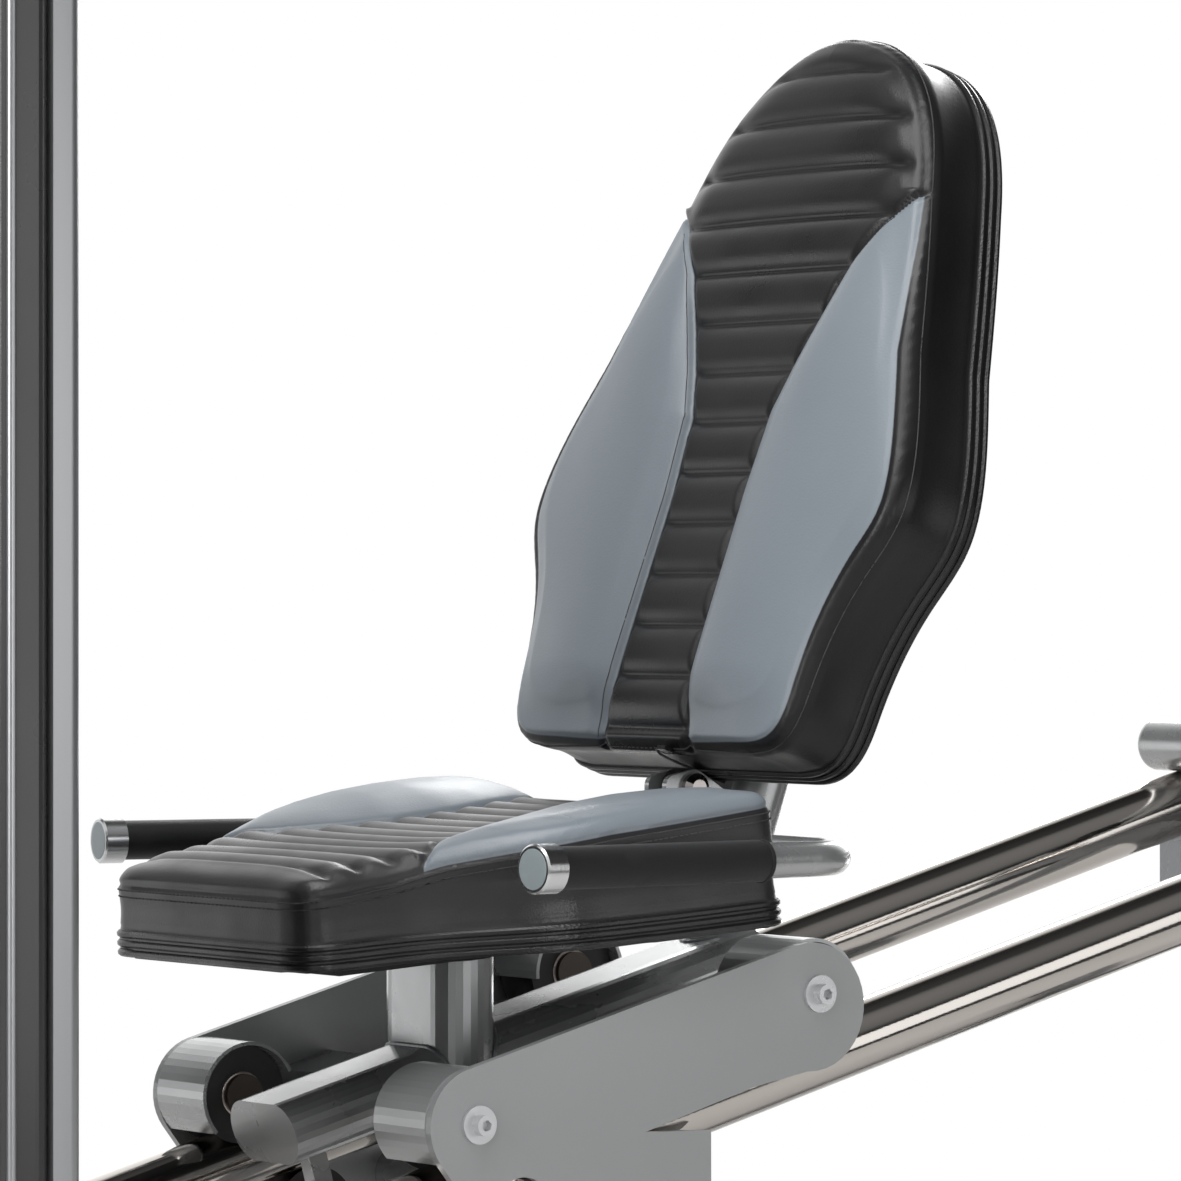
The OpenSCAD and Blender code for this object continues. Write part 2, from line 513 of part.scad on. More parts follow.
// Plates first to last, bored for the rods, the stem and the selector pin
module stack_plates(first, last) color([0.15, 0.15, 0.15]) difference() {
    for (i = [first:last]) translate([stack_x, 0, stack_z0 + i * plate_h])
        post_z(100, 300, plate_h - 1, 6);
    both_sides() translate([stack_x, rod_y, stack_z0 - 1]) cylinder(h = plates * plate_h + 2, r = 10 + gap);
    translate([stack_x, 0, stack_z0 - 1]) cylinder(h = plates * plate_h + 2, r = 11);
    for (i = [first:last]) translate([stack_x - 60, 0, stack_z0 + i * plate_h + 10])
        rotate([0, 90, 0]) cylinder(h = 60, r = 5);
}
module plates_resting() stack_plates(0, pinned - 1);
module plates_lifted() stack_plates(pinned, plates - 1);
module stack_head() color([0.3, 0.3, 0.3]) {
    difference() {
        translate([stack_x, 0, stack_top]) post_z(100, 300, 30, 6);
        both_sides() translate([stack_x, rod_y, stack_top - 2]) cylinder(h = 60, r = 10 + gap);
    }
    difference() {
        translate([stack_x, 0, stack_z0 + 4]) cylinder(h = stack_top - stack_z0, r = 10);
        for (i = [1:plates - 1]) translate([stack_x - 60, 0, stack_z0 + i * plate_h + 10])
            rotate([0, 90, 0]) cylinder(h = 120, r = 5);
    }
    translate([stack_x, 0, stack_top + 30]) cylinder(h = 32, r = 12);
}
module selector_pin() color([0.7, 0.1, 0.1]) translate([stack_x, 0, stack_z0 + pinned * plate_h + 10]) {
    translate([-72, 0, 0]) rotate([0, 90, 0]) cylinder(h = 80, r = 4.6);
    translate([-96, 0, 0]) rotate([0, 90, 0]) cylinder(h = 24, r = 13);
}

rail_left();
rail_right();
rail_plugs();
upper_cross_tube();
rubber_stops();
front_crossmember();
base_beam();
rear_foot();
foot_pads();
rear_post();
stop_post();
tower_post_left();
tower_post_right();
side_panel_left();
side_panel_right();
front_cover();
tower_top();
tower_base();
guide_rods();
stack_cushions();
foot_plate();
foot_plate_bars();
pulley_brackets();
plates_resting();
cable_low();
cable_riser();
cable_drop();
side_plate_left();
side_plate_right();
front_fenders();
rear_fenders();
spine_tube();
cross_bars();
axles();
axle_screws();
seat_post();
seat_bracket();
seat_pad();
handle_left();
handle_right();
grip_left();
grip_right();
handle_caps();
back_post();
pivot_lug();
pivot_bolt();
back_frame();
back_pad();
tilt_knob();
wheel_front_left();
wheel_front_right();
wheel_rear_left();
wheel_rear_right();
guide_roller_left();
guide_roller_right();
base_pulley();
top_pulley();
plates_lifted();
stack_head();
selector_pin();
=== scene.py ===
"""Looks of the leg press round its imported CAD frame: leather pads, cables, fittings,
materials, floor, lights and camera. Lengths are metres in the row frame unless a name
ends in _mm, and the pads are shaped in millimetres in their own leaning frames."""

import json
import math

import bmesh
import bpy
import numpy as np
from mathutils import Matrix, Vector
from mathutils.bvhtree import BVHTree


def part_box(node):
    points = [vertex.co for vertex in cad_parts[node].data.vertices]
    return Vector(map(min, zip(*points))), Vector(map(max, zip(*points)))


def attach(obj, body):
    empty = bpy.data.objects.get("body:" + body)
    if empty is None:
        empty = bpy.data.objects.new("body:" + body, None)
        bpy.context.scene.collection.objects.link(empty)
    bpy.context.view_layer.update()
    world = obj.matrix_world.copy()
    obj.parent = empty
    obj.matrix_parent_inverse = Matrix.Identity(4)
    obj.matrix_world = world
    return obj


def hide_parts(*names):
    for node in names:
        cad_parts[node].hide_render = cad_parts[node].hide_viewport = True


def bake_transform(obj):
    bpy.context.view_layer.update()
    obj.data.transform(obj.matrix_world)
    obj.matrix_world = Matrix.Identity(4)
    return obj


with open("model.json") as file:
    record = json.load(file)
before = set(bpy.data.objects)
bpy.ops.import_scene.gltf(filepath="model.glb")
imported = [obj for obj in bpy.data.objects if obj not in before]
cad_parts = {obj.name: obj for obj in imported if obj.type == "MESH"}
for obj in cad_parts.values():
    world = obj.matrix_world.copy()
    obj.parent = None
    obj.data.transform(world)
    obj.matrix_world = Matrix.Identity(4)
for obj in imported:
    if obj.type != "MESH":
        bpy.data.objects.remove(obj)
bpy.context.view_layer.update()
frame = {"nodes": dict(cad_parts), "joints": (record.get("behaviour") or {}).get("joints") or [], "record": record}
MM = 0.001
JOINTS = {j["name"]: j for j in frame["joints"]}
rail_axis = Vector(JOINTS["carriage_slide"]["axis"])
SLOPE = math.atan2(rail_axis.z, rail_axis.x)
BACK_LEAN = math.radians(19.9)   # back pad behind the vertical
SEAT_RISE = math.radians(4.4)    # seat pad, rear edge up


def leaning(origin, angle):
    """A frame turned about the machine's cross axis, in metres."""
    return Matrix.Translation(origin) @ Matrix.Rotation(angle, 4, "Y")


def middle(node):
    """Centre of a CAD node's box."""
    low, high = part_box(node)
    return (low + high) / 2


# The pads' own frames: x runs rearwards and z up, from the foot of the back pad's front face and from
# the seat pad's lower front edge
PAD_FROM_PIVOT = (-57 * MM, 0, 27 * MM)
SEAT_FRONT_X = -0.315
tilt_pivot = Vector(JOINTS["back_tilt"]["pos_m"])
BACK = leaning(tilt_pivot, BACK_LEAN) @ Matrix.Translation(PAD_FROM_PIVOT)
SEAT = leaning(Vector((SEAT_FRONT_X, 0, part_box("seat_pad")[0].z)), -SEAT_RISE)


# ---------------------------------------------------------------- materials

def mix(nodes, links, factor, a, b):
    """Colour between a and b, each a socket or an RGB triple, by a factor socket."""
    node = nodes.new("ShaderNodeMix")
    node.data_type = "RGBA"
    links.new(factor, node.inputs["Factor"])
    for socket, value in ((node.inputs["A"], a), (node.inputs["B"], b)):
        if isinstance(value, bpy.types.NodeSocket):
            links.new(value, socket)
        else:
            socket.default_value = (*value, 1)
    return node.outputs["Result"]


def remap(nodes, links, value, low, high, to_low, to_high):
    """The value's stretch from low to high laid onto to_low to to_high, held at its ends."""
    node = nodes.new("ShaderNodeMapRange")
    links.new(value, node.inputs["Value"])
    for name, number in (("From Min", low), ("From Max", high), ("To Min", to_low), ("To Max", to_high)):
        node.inputs[name].default_value = number
    return node.outputs["Result"]


def pattern(nodes, links, coords, kind, scale, stretch=(1, 1, 1), turn=0.0, detail=3):
    """Noise, cells or bands laid in the object's own metres; the height or value socket."""
    mapping = nodes.new("ShaderNodeMapping")
    mapping.inputs["Scale"].default_value = stretch
    mapping.inputs["Rotation"].default_value = (0, turn, 0)
    links.new(coords, mapping.inputs["Vector"])
    if kind == "cells":
        node = nodes.new("ShaderNodeTexVoronoi")
        node.feature = "SMOOTH_F1"
        output = "Distance"
    elif kind == "bands":
        node = nodes.new("ShaderNodeTexWave")
        node.inputs["Distortion"].default_value = 0.4
        output = "Fac"
    else:
        node = nodes.new("ShaderNodeTexNoise")
        node.inputs["Detail"].default_value = detail
        output = "Fac"
    node.inputs["Scale"].default_value = scale
    links.new(mapping.outputs["Vector"], node.inputs["Vector"])
    return node.outputs[output]


def finish(name, color, rough, metallic=0.0, spread=0.12, grain=("noise", 300, 0.1), stretch=(1, 1, 1),
           turn=0.0, rough_spread=0.12, coat=0.0, sheen=0.0, specular=0.5, scuffs=0.15, depth=0.0004,
           second=None):
    """A painted, plated, moulded or leather surface: blotches, fine grain, rub marks and bump."""
    material = bpy.data.materials.new(name)
    material.use_nodes = True
    nodes, links = material.node_tree.nodes, material.node_tree.links
    shader = nodes["Principled BSDF"]
    coords = nodes.new("ShaderNodeTexCoord").outputs["Object"]
    blotch = pattern(nodes, links, coords, "noise", 7, stretch, turn, 5)
    kind, scale, strength = grain
    fine = pattern(nodes, links, coords, kind, scale, stretch, turn)
    rub = pattern(nodes, links, coords, "noise", 31, stretch, turn, 8)
    rub = remap(nodes, links, rub, 0.56, 0.74, 0, scuffs)
    darker = tuple(c * (1 - spread) for c in color)
    lighter = tuple(min(1, c * (1 + spread)) for c in color)
    tone = mix(nodes, links, blotch, darker, lighter)
    worn = tuple(min(1, c * 1.35 + 0.02) for c in color)
    tone = mix(nodes, links, rub, tone, worn)
    if second:
        tone = second(nodes, links, tone, blotch)
    links.new(tone, shader.inputs["Base Color"])
    shade = nodes.new("ShaderNodeMath")
    shade.operation = "ADD"
    roughness = remap(nodes, links, blotch, 0.3, 0.7, rough - rough_spread, rough + rough_spread)
    links.new(roughness, shade.inputs[0])
    links.new(rub, shade.inputs[1])
    shade.use_clamp = True
    links.new(shade.outputs[0], shader.inputs["Roughness"])
    bump = nodes.new("ShaderNodeBump")
    bump.inputs["Strength"].default_value = strength
    bump.inputs["Distance"].default_value = depth
    links.new(fine, bump.inputs["Height"])
    links.new(bump.outputs["Normal"], shader.inputs["Normal"])
    shader.inputs["Metallic"].default_value = metallic
    shader.inputs["Coat Weight"].default_value = coat
    shader.inputs["Coat Roughness"].default_value = 0.12
    shader.inputs["Sheen Weight"].default_value = sheen
    shader.inputs["Specular IOR Level"].default_value = specular
    return material


def two_leathers(insert, gusset):
    """Grey panels, dark insert and black sides on one skin, split where the seam attributes cross zero."""
    def apply(nodes, links, tone, blotch):
        for attribute, color in (("insert_mm", insert), ("gusset_mm", gusset)):
            node = nodes.new("ShaderNodeAttribute")
            node.attribute_name = attribute
            mask = remap(nodes, links, node.outputs["Fac"], -0.5, 0.5, 0, 1)
            low = tuple(c * 0.85 for c in color)
            high = tuple(c * 1.2 for c in color)
            tone = mix(nodes, links, mask, tone, mix(nodes, links, blotch, low, high))
        return tone
    return apply


ALONG_RAIL = dict(stretch=(0.06, 1, 1), turn=SLOPE)
UPRIGHT = (1, 1, 0.05)           # grain drawn out along z
SKINS = {
    "chrome_rail": finish("chrome_tube", (0.62, 0.585, 0.55), 0.1, 1.0, 0.05, ("noise", 900, 0.05),
                          rough_spread=0.04, scuffs=0.05, **ALONG_RAIL),
    "silver_paint": finish("silver_paint", (0.44, 0.45, 0.455), 0.27, 0.62, 0.06, ("noise", 1400, 0.1),
                           coat=0.6, scuffs=0.05),
    "plate_paint": finish("plate_paint", (0.36, 0.37, 0.375), 0.38, 0.4, 0.05, ("noise", 1400, 0.12),
                          coat=0.3, scuffs=0.05),
    "frame_paint": finish("frame_paint", (0.24, 0.25, 0.26), 0.38, 0.4, 0.08, ("noise", 1100, 0.15),
                          coat=0.4),
    "tower_paint": finish("tower_paint", (0.05, 0.049, 0.049), 0.30, 0.2, 0.06, ("noise", 1300, 0.16),
                          coat=0.5, scuffs=0.03, rough_spread=0.05),
    "panel_paint": finish("panel_paint", (0.30, 0.31, 0.33), 0.45, 0.3, 0.07, ("noise", 900, 0.2)),
    "black_steel": finish("black_steel", (0.03, 0.03, 0.032), 0.42, 0.3, 0.15, ("noise", 900, 0.2),
                          scuffs=0.1),
    "iron_plate": finish("cast_iron", (0.045, 0.046, 0.05), 0.52, 0.4, 0.2, ("cells", 260, 0.5),
                         scuffs=0.35, depth=0.0008),
    "zinc": finish("zinc", (0.66, 0.67, 0.68), 0.26, 0.7, 0.08, ("noise", 700, 0.15), scuffs=0.2),
    "rod_chrome": finish("rod_chrome", (0.70, 0.70, 0.71), 0.1, 1.0, 0.04, ("noise", 800, 0.04), UPRIGHT,
                         rough_spread=0.03, scuffs=0.08),
    "cable": finish("cable", (0.06, 0.06, 0.062), 0.38, 0.2, 0.15, ("bands", 260, 0.5), turn=0.6, coat=0.3),
    "rubber": finish("rubber", (0.022, 0.022, 0.023), 0.72, 0.0, 0.2, ("cells", 700, 0.35), specular=0.3),
    "grip_foam": finish("grip_foam", (0.010, 0.010, 0.011), 0.5, 0.0, 0.15, ("cells", 1100, 0.5),
                        specular=0.35, sheen=0.08),
    "tyre": finish("tyre", (0.025, 0.024, 0.024), 0.48, 0.0, 0.2, ("noise", 500, 0.3), scuffs=0.3),
    "alu_cap": finish("satin_aluminium", (0.74, 0.75, 0.76), 0.24, 1.0, 0.05, ("noise", 900, 0.12),
                      (1, 0.08, 0.08), rough_spread=0.06, scuffs=0.06),
    "black_plastic": finish("black_plastic", (0.02, 0.02, 0.021), 0.44, 0.0, 0.12, ("cells", 900, 0.3)),
    "pin_plastic": finish("pin_plastic", (0.42, 0.015, 0.02), 0.28, 0.0, 0.1, ("noise", 700, 0.08), coat=0.5),
    "grey_leather": finish("grey_leather", (0.235, 0.265, 0.295), 0.46, 0.0, 0.05, ("cells", 620, 0.3),
                           sheen=0.05, scuffs=0.04, depth=0.0003),
    "black_leather": finish("black_leather", (0.012, 0.012, 0.013), 0.34, 0.0, 0.15, ("cells", 560, 0.45),
                            scuffs=0.06, depth=0.0004),
}
# The back and the seat carry their own copies of one grey, one dark insert and one black leather: the seat's
# copies are mixed lighter, painted light on the seat's front and sides, and the back's are mixed darker, painted
# shade on the back pad.
back_leather = finish("back_leather", (0.216, 0.246, 0.275), 0.38, 0.0, 0.04, ("cells", 600, 0.35),
                      scuffs=0.03, depth=0.0003, specular=0.4,
                      second=two_leathers((0.018, 0.018, 0.019), (0.009, 0.009, 0.010)))
seat_leather = finish("seat_leather", (0.235, 0.268, 0.300), 0.36, 0.0, 0.04, ("cells", 600, 0.35),
                      scuffs=0.03, depth=0.0003,
                      second=two_leathers((0.036, 0.036, 0.038), (0.025, 0.025, 0.027)))
seam_thread = finish("seam_thread", (0.075, 0.075, 0.078), 0.6, 0.0, 0.15, ("bands", 2200, 0.6))
bearing_steel = finish("bearing_steel", (0.42, 0.37, 0.34), 0.3, 1.0, 0.12, ("noise", 600, 0.15), scuffs=0.25)
bearing_dark = finish("axle_steel", (0.10, 0.085, 0.075), 0.4, 0.8, 0.2, ("noise", 600, 0.2), scuffs=0.2)
dark_chrome = finish("dark_chrome", (0.38, 0.35, 0.34), 0.12, 1.0, 0.1, ("noise", 600, 0.08), scuffs=0.1)
cap_disc_skin = finish("cap_disc", (0.30, 0.345, 0.36), 0.4, 0.3, 0.05, ("noise", 900, 0.15))
weld_skin = finish("weld_bead", (0.27, 0.28, 0.29), 0.36, 0.6, 0.15, ("noise", 900, 0.4), coat=0.4)
# Polish for the towers' bright trim strips, also laid on the posts' rounded corners as a painted highlight
trim_and_highlight_polish = finish("polished_trim_and_highlight", (0.42, 0.43, 0.44), 0.3, 0.8, 0.03, ("noise", 700, 0.05), UPRIGHT,
                  rough_spread=0.03, scuffs=0.02)

SPECIAL = {"axles": bearing_dark, "pivot_bolt": dark_chrome}
for part in frame["record"]["subparts"]:
    node = frame["nodes"][part["node"]]
    skin = SPECIAL.get(part["node"], SKINS[part["material_slot"]])
    for place in node.material_slots:
        place.material = skin
    if not node.material_slots:
        node.data.materials.append(skin)


# ---------------------------------------------------------------- mesh tools

MERGE_WITHIN, SHORTEST_EDGE = 1e-6, 1e-7     # metres
SHARP_ANGLE = math.radians(38)


def in_row(points, matrix):
    """Points, as an array, through a matrix."""
    turn = np.array(matrix)
    return points @ turn[:3, :3].T + turn[:3, 3]


def looking_along(at, direction):
    """A place with its z axis along a direction."""
    return Matrix.Translation(at) @ direction.to_track_quat("Z", "Y").to_matrix().to_4x4()


class Shape:
    """Vertices and faces gathered from several parts into one piece."""

    def __init__(self):
        self.points, self.faces, self.count = [], [], 0

    def add(self, points, faces, matrix=None):
        points = np.asarray(points, float)
        self.points.append(points if matrix is None else in_row(points, matrix))
        self.faces += [tuple(i + self.count for i in face) for face in faces]
        self.count += len(points)

    def piece(self, name, material, body, slot=None, smooth=True):
        mesh = bpy.data.meshes.new(name)
        mesh.from_pydata(np.concatenate(self.points).tolist(), [], self.faces)
        welded = bmesh.new()
        welded.from_mesh(mesh)
        bmesh.ops.remove_doubles(welded, verts=welded.verts, dist=MERGE_WITHIN)
        bmesh.ops.dissolve_degenerate(welded, edges=welded.edges, dist=SHORTEST_EDGE)
        bmesh.ops.recalc_face_normals(welded, faces=welded.faces)
        welded.to_mesh(mesh)
        welded.free()
        obj = bpy.data.objects.new(name, mesh)
        bpy.context.scene.collection.objects.link(obj)
        mesh.materials.append(material)
        mesh.polygons.foreach_set("use_smooth", [smooth] * len(mesh.polygons))
        if smooth:
            mesh.set_sharp_from_angle(angle=SHARP_ANGLE)
        if body:
            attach(obj, body)
        return obj


def ring_frames(path, closed):
    """Two directions across a path at each point, carried along it without twist."""
    after = np.roll(path, -1, 0) - path
    before = path - np.roll(path, 1, 0)
    if not closed:
        after[-1], before[0] = before[-1], after[0]
    along = after + before
    along /= np.linalg.norm(along, axis=1)[:, None]
    side = np.cross(along[0], (0.31, 0.17, 0.93))
    sides = []
    for direction in along:
        side = side - direction * (side @ direction)
        side /= np.linalg.norm(side)
        sides.append(side)
    sides = np.array(sides)
    return sides, np.cross(along, sides)


def tube(path, radius, sides=10, closed=False, ripple=0.0):
    """A round cord along a path, with ends rounded over when it is open."""
    path = np.asarray(path, float)
    radii = np.full(len(path), radius)
    if ripple:
        radii = radius * (1 + ripple * np.sin(np.arange(len(path)) * 1.9))
    if not closed:
        start, end = path[0] - path[1], path[-1] - path[-2]
        start, end = start / np.linalg.norm(start), end / np.linalg.norm(end)
        path = np.concatenate([[path[0] + start * radius * 0.8], path, [path[-1] + end * radius * 0.8]])
        radii = np.concatenate([[radius * 0.35], radii, [radius * 0.35]])
    first, second = ring_frames(path, closed)
    turn = np.arange(sides) * 2 * math.pi / sides
    points = (path[:, None] + radii[:, None, None] * (np.cos(turn)[None, :, None] * first[:, None]
                                                      + np.sin(turn)[None, :, None] * second[:, None]))
    rows = len(path)
    faces = []
    for i in range(rows if closed else rows - 1):
        j = (i + 1) % rows
        for k in range(sides):
            m = (k + 1) % sides
            faces.append((i * sides + k, i * sides + m, j * sides + m, j * sides + k))
    if not closed:
        faces += [tuple(range(sides))[::-1], tuple((rows - 1) * sides + k for k in range(sides))]
    return points.reshape(-1, 3), faces


def turned(profile, matrix, segments=40):
    """A closed profile of (radius, height) spun round the matrix's z axis."""
    angle = np.arange(segments) * 2 * math.pi / segments
    profile = np.asarray(profile, float)
    points = np.stack([np.outer(np.cos(angle), profile[:, 0]), np.outer(np.sin(angle), profile[:, 0]),
                       np.tile(profile[:, 1], (segments, 1))], -1).reshape(-1, 3)
    count = len(profile)
    faces = [(i * count + k, (i + 1) % segments * count + k, (i + 1) % segments * count + (k + 1) % count,
              i * count + (k + 1) % count) for i in range(segments) for k in range(count)]
    return in_row(points, matrix), faces


def slab(rings):
    """A closed solid through rings of points, one above the other, with flat ends."""
    count = len(rings[0])
    faces = []
    for r in range(len(rings) - 1):
        for k in range(count):
            m = (k + 1) % count
            faces.append((r * count + k, r * count + m, (r + 1) * count + m, (r + 1) * count + k))
    faces += [tuple(range(count))[::-1], tuple((len(rings) - 1) * count + k for k in range(count))]
    return np.array(rings, float).reshape(-1, 3), faces


def cubic(a, b, c, d, count=12):
    """Points along a cubic curve, without its last."""
    t = (np.arange(count) / count)[:, None]
    a, b, c, d = (np.array(p, float) for p in (a, b, c, d))
    return a * (1 - t) ** 3 + 3 * b * t * (1 - t) ** 2 + 3 * c * t ** 2 * (1 - t) + d * t ** 3


def evenly(path, step, closed=True):
    """The path again with points a step apart."""
    path = np.asarray(path, float)
    if closed:
        path = np.concatenate([path, path[:1]])
    run = np.concatenate([[0], np.cumsum(np.linalg.norm(np.diff(path, axis=0), axis=1))])
    count = max(4, int(round(run[-1] / step)))
    stations = np.linspace(0, run[-1], count + (not closed), endpoint=not closed)
    return np.stack([np.interp(stations, run, path[:, k]) for k in range(path.shape[1])], 1)


def edge_distance(points, loop):
    """How far each 2-D point is from a closed loop of points."""
    a, b = loop, np.roll(loop, -1, 0)
    span = b - a
    result = []
    for chunk in np.array_split(points, max(1, len(points) // 4000)):
        offset = chunk[:, None] - a[None]
        t = np.clip((offset * span).sum(-1) / (span * span).sum(-1), 0, 1)
        result.append(np.linalg.norm(offset - t[..., None] * span, axis=-1).min(1))
    return np.concatenate(result)


def smooth_step(value, low, high):
    """0 below low, 1 above high, eased between."""
    t = np.clip((value - low) / (high - low), 0, 1)
    return t * t * (3 - 2 * t)


def puffs(along, first, pitch, power=2.6):
    """0 at each channel seam and 1 midway between two."""
    part = (along - first) / pitch % 1
    return 1 - np.abs(2 * part - 1) ** power


def groove(distance, width):
    """1 on a seam line, falling off to 0 at about twice the width."""
    return np.exp(-(distance / width) ** 2)


def read_points(obj):
    points = np.empty(len(obj.data.vertices) * 3)
    obj.data.vertices.foreach_get("co", points)
    return points.reshape(-1, 3)


def write_points(obj, points):
    obj.data.vertices.foreach_set("co", np.ascontiguousarray(points, float).ravel())
    obj.data.update()


def bake(obj):
    """Applies the object's modifiers."""
    shaped = obj.evaluated_get(bpy.context.evaluated_depsgraph_get())
    mesh = bpy.data.meshes.new_from_object(shaped)
    obj.modifiers.clear()
    obj.data = mesh


def blank(lengths, half_at, front, rear):
    """Closed block between two curved faces, as rows across the pad; front and rear give depth in mm."""
    columns = np.sin(np.linspace(-math.pi / 2, math.pi / 2, 111))
    across = half_at(lengths)[:, None] * columns[None]
    along = np.repeat(lengths[:, None], len(columns), 1)
    faces, rows, wide = [], len(lengths), len(columns)
    for i in range(rows - 1):
        for k in range(wide - 1):
            a, b, c, d = i * wide + k, i * wide + k + 1, (i + 1) * wide + k + 1, (i + 1) * wide + k
            faces += [(a, b, c, d), tuple(rows * wide + p for p in (d, c, b, a))]
    rim = list(range(wide)) + [i * wide + wide - 1 for i in range(1, rows)]
    rim += [(rows - 1) * wide + k for k in range(wide - 2, -1, -1)] + [i * wide for i in range(rows - 2, 0, -1)]
    for p, q in zip(rim, rim[1:] + rim[:1]):
        faces.append((q, p, rows * wide + p, rows * wide + q))
    flat = np.stack([across.ravel(), along.ravel()], 1)
    return flat, front(flat), rear(flat), faces


AIR_PRESSURE, LEATHER_STIFFNESS, LEATHER_BENDING = 4.0, 25, 2
CLOTH_FRAMES, SPREAD_PASSES = 20, 30


def inflate(obj, cap, held):
    """Swells the pad by cloth pressure with the held points pinned; no point moves further than cap."""
    start = read_points(obj)
    group = obj.vertex_groups.new(name="held")
    group.add([int(i) for i in np.nonzero(held)[0]], 1.0, "REPLACE")
    cloth = obj.modifiers.new("Cloth", "CLOTH")
    settings = cloth.settings
    settings.quality = 4
    settings.mass = 0.35
    settings.use_pressure = True
    settings.uniform_pressure_force = AIR_PRESSURE
    settings.tension_stiffness = settings.compression_stiffness = LEATHER_STIFFNESS
    settings.bending_stiffness = LEATHER_BENDING
    settings.effector_weights.gravity = 0
    settings.vertex_group_mass = "held"
    for step in range(1, CLOTH_FRAMES + 1):
        bpy.context.scene.frame_set(step)
    shaped = obj.evaluated_get(bpy.context.evaluated_depsgraph_get())
    moved = np.empty(len(start) * 3)
    shaped.data.vertices.foreach_get("co", moved)
    move = moved.reshape(-1, 3) - start
    ends = np.empty(len(obj.data.edges) * 2, dtype=np.int64)
    obj.data.edges.foreach_get("vertices", ends)
    a, b = ends.reshape(-1, 2).T
    share = np.maximum(np.bincount(np.concatenate([a, b]), minlength=len(start)), 1)[:, None]
    for _ in range(SPREAD_PASSES):   # taut leather: the swelling spreads, the creases go
        total = np.stack([np.bincount(a, move[b, k], len(start)) + np.bincount(b, move[a, k], len(start))
                          for k in range(3)], 1)
        move = np.where(held[:, None], 0, total / share)
    length = np.linalg.norm(move, axis=1)[:, None]
    obj.modifiers.clear()
    obj.vertex_groups.clear()
    bpy.context.scene.frame_set(1)
    write_points(obj, start + move * np.minimum(1, cap / np.maximum(length, 1e-9)))


WEAVE_SIZE, QUICK_WEAVE_SIZE = 0.005, 0.006
FACING = 0.7               # skin turned this much to the pad's face lies exactly on it
PRESSED = (0.35, 0.75)     # and between these the channels fade in
RAY_OUT_MM = 45            # how far outside a pad the rays for its side stitches start
STITCH_LIFT = 0.0002


def skin_of(flat, front, rear, faces, place, settle, name, leather, held, cap):
    """Remeshes the block to even leather, swells it and makes it finer. Returns the object, in metres."""
    shape = Shape()
    shape.add(np.concatenate([place(flat, front), place(flat, rear)]) * MM, faces)
    obj = shape.piece(name, leather, None, smooth=False)
    weave = obj.modifiers.new("Weave", "REMESH")
    weave.mode = "VOXEL"
    weave.voxel_size = WEAVE_SIZE
    bake(obj)
    write_points(obj, settle(read_points(obj) / MM, normals_of(obj)) * MM)
    inflate(obj, cap * MM, held(read_points(obj) / MM))
    finer = obj.modifiers.new("Finer", "SUBSURF")
    finer.levels = finer.render_levels = 1
    bake(obj)
    obj.data.materials.clear()
    obj.data.materials.append(leather)
    obj.data.polygons.foreach_set("use_smooth", [True] * len(obj.data.polygons))
    obj.data.update()
    return obj


def normals_of(obj):
    normals = np.empty(len(obj.data.vertices) * 3)
    obj.data.vertex_normals.foreach_get("vector", normals)
    return normals.reshape(-1, 3)


def mark(obj, name, values):
    """Stores a number on each vertex for the leather's shader."""
    attribute = obj.data.attributes.new(name, "FLOAT", "POINT")
    attribute.data.foreach_set("value", values.astype(np.float32))


def dropped_on(tree, starts, directions, lift):
    """Points on the skin that rays from the starts reach, lifted off it, with the skin's normals."""
    points, normals = [], []
    for start, direction in zip(starts, directions):
        spot, normal, _, _ = tree.ray_cast(Vector(start), Vector(direction), 0.2)
        if spot is None:
            continue
        points.append(np.array(spot + normal * lift))
        normals.append(np.array(normal))
    return np.array(points), np.array(normals)


def stitches(shape, path, normals, pitch=0.0066, length=0.0044, radius=0.0006, closed=False):
    """Short thread capsules end to end along a path on the skin."""
    both = evenly(np.concatenate([path, normals], 1), pitch, closed)
    spots, ups = both[:, :3], both[:, 3:]
    along = np.roll(spots, -1, 0) - np.roll(spots, 1, 0)
    if not closed:
        along[0], along[-1] = spots[1] - spots[0], spots[-1] - spots[-2]
    turn = np.arange(6) * math.pi / 3
    for spot, up, direction in zip(spots, ups, along):
        direction = direction / max(np.linalg.norm(direction), 1e-9)
        side = np.cross(direction, up)
        ring = radius * (np.cos(turn)[:, None] * side + np.sin(turn)[:, None] * up)
        half = direction * length / 2
        near, far = spot - half * 0.7 + ring, spot + half * 0.7 + ring
        points = np.concatenate([[spot - half], near, far, [spot + half]])
        faces = [(0, 1 + (k + 1) % 6, 1 + k) for k in range(6)]
        faces += [(1 + k, 1 + (k + 1) % 6, 7 + (k + 1) % 6, 7 + k) for k in range(6)]
        faces += [(13, 7 + k, 7 + (k + 1) % 6) for k in range(6)]
        shape.add(points, faces)


def sew(shape, line, facing, matrix, **thread_size):
    """Stitches along a line on a pad, given with its normals in the pad's own frame."""
    stitches(shape, in_row(line, matrix), facing @ np.array(matrix)[:3, :3].T, **thread_size)


# ---------------------------------------------------------------- back cushion
# v is the height up the back pad and y the distance from its middle, in mm

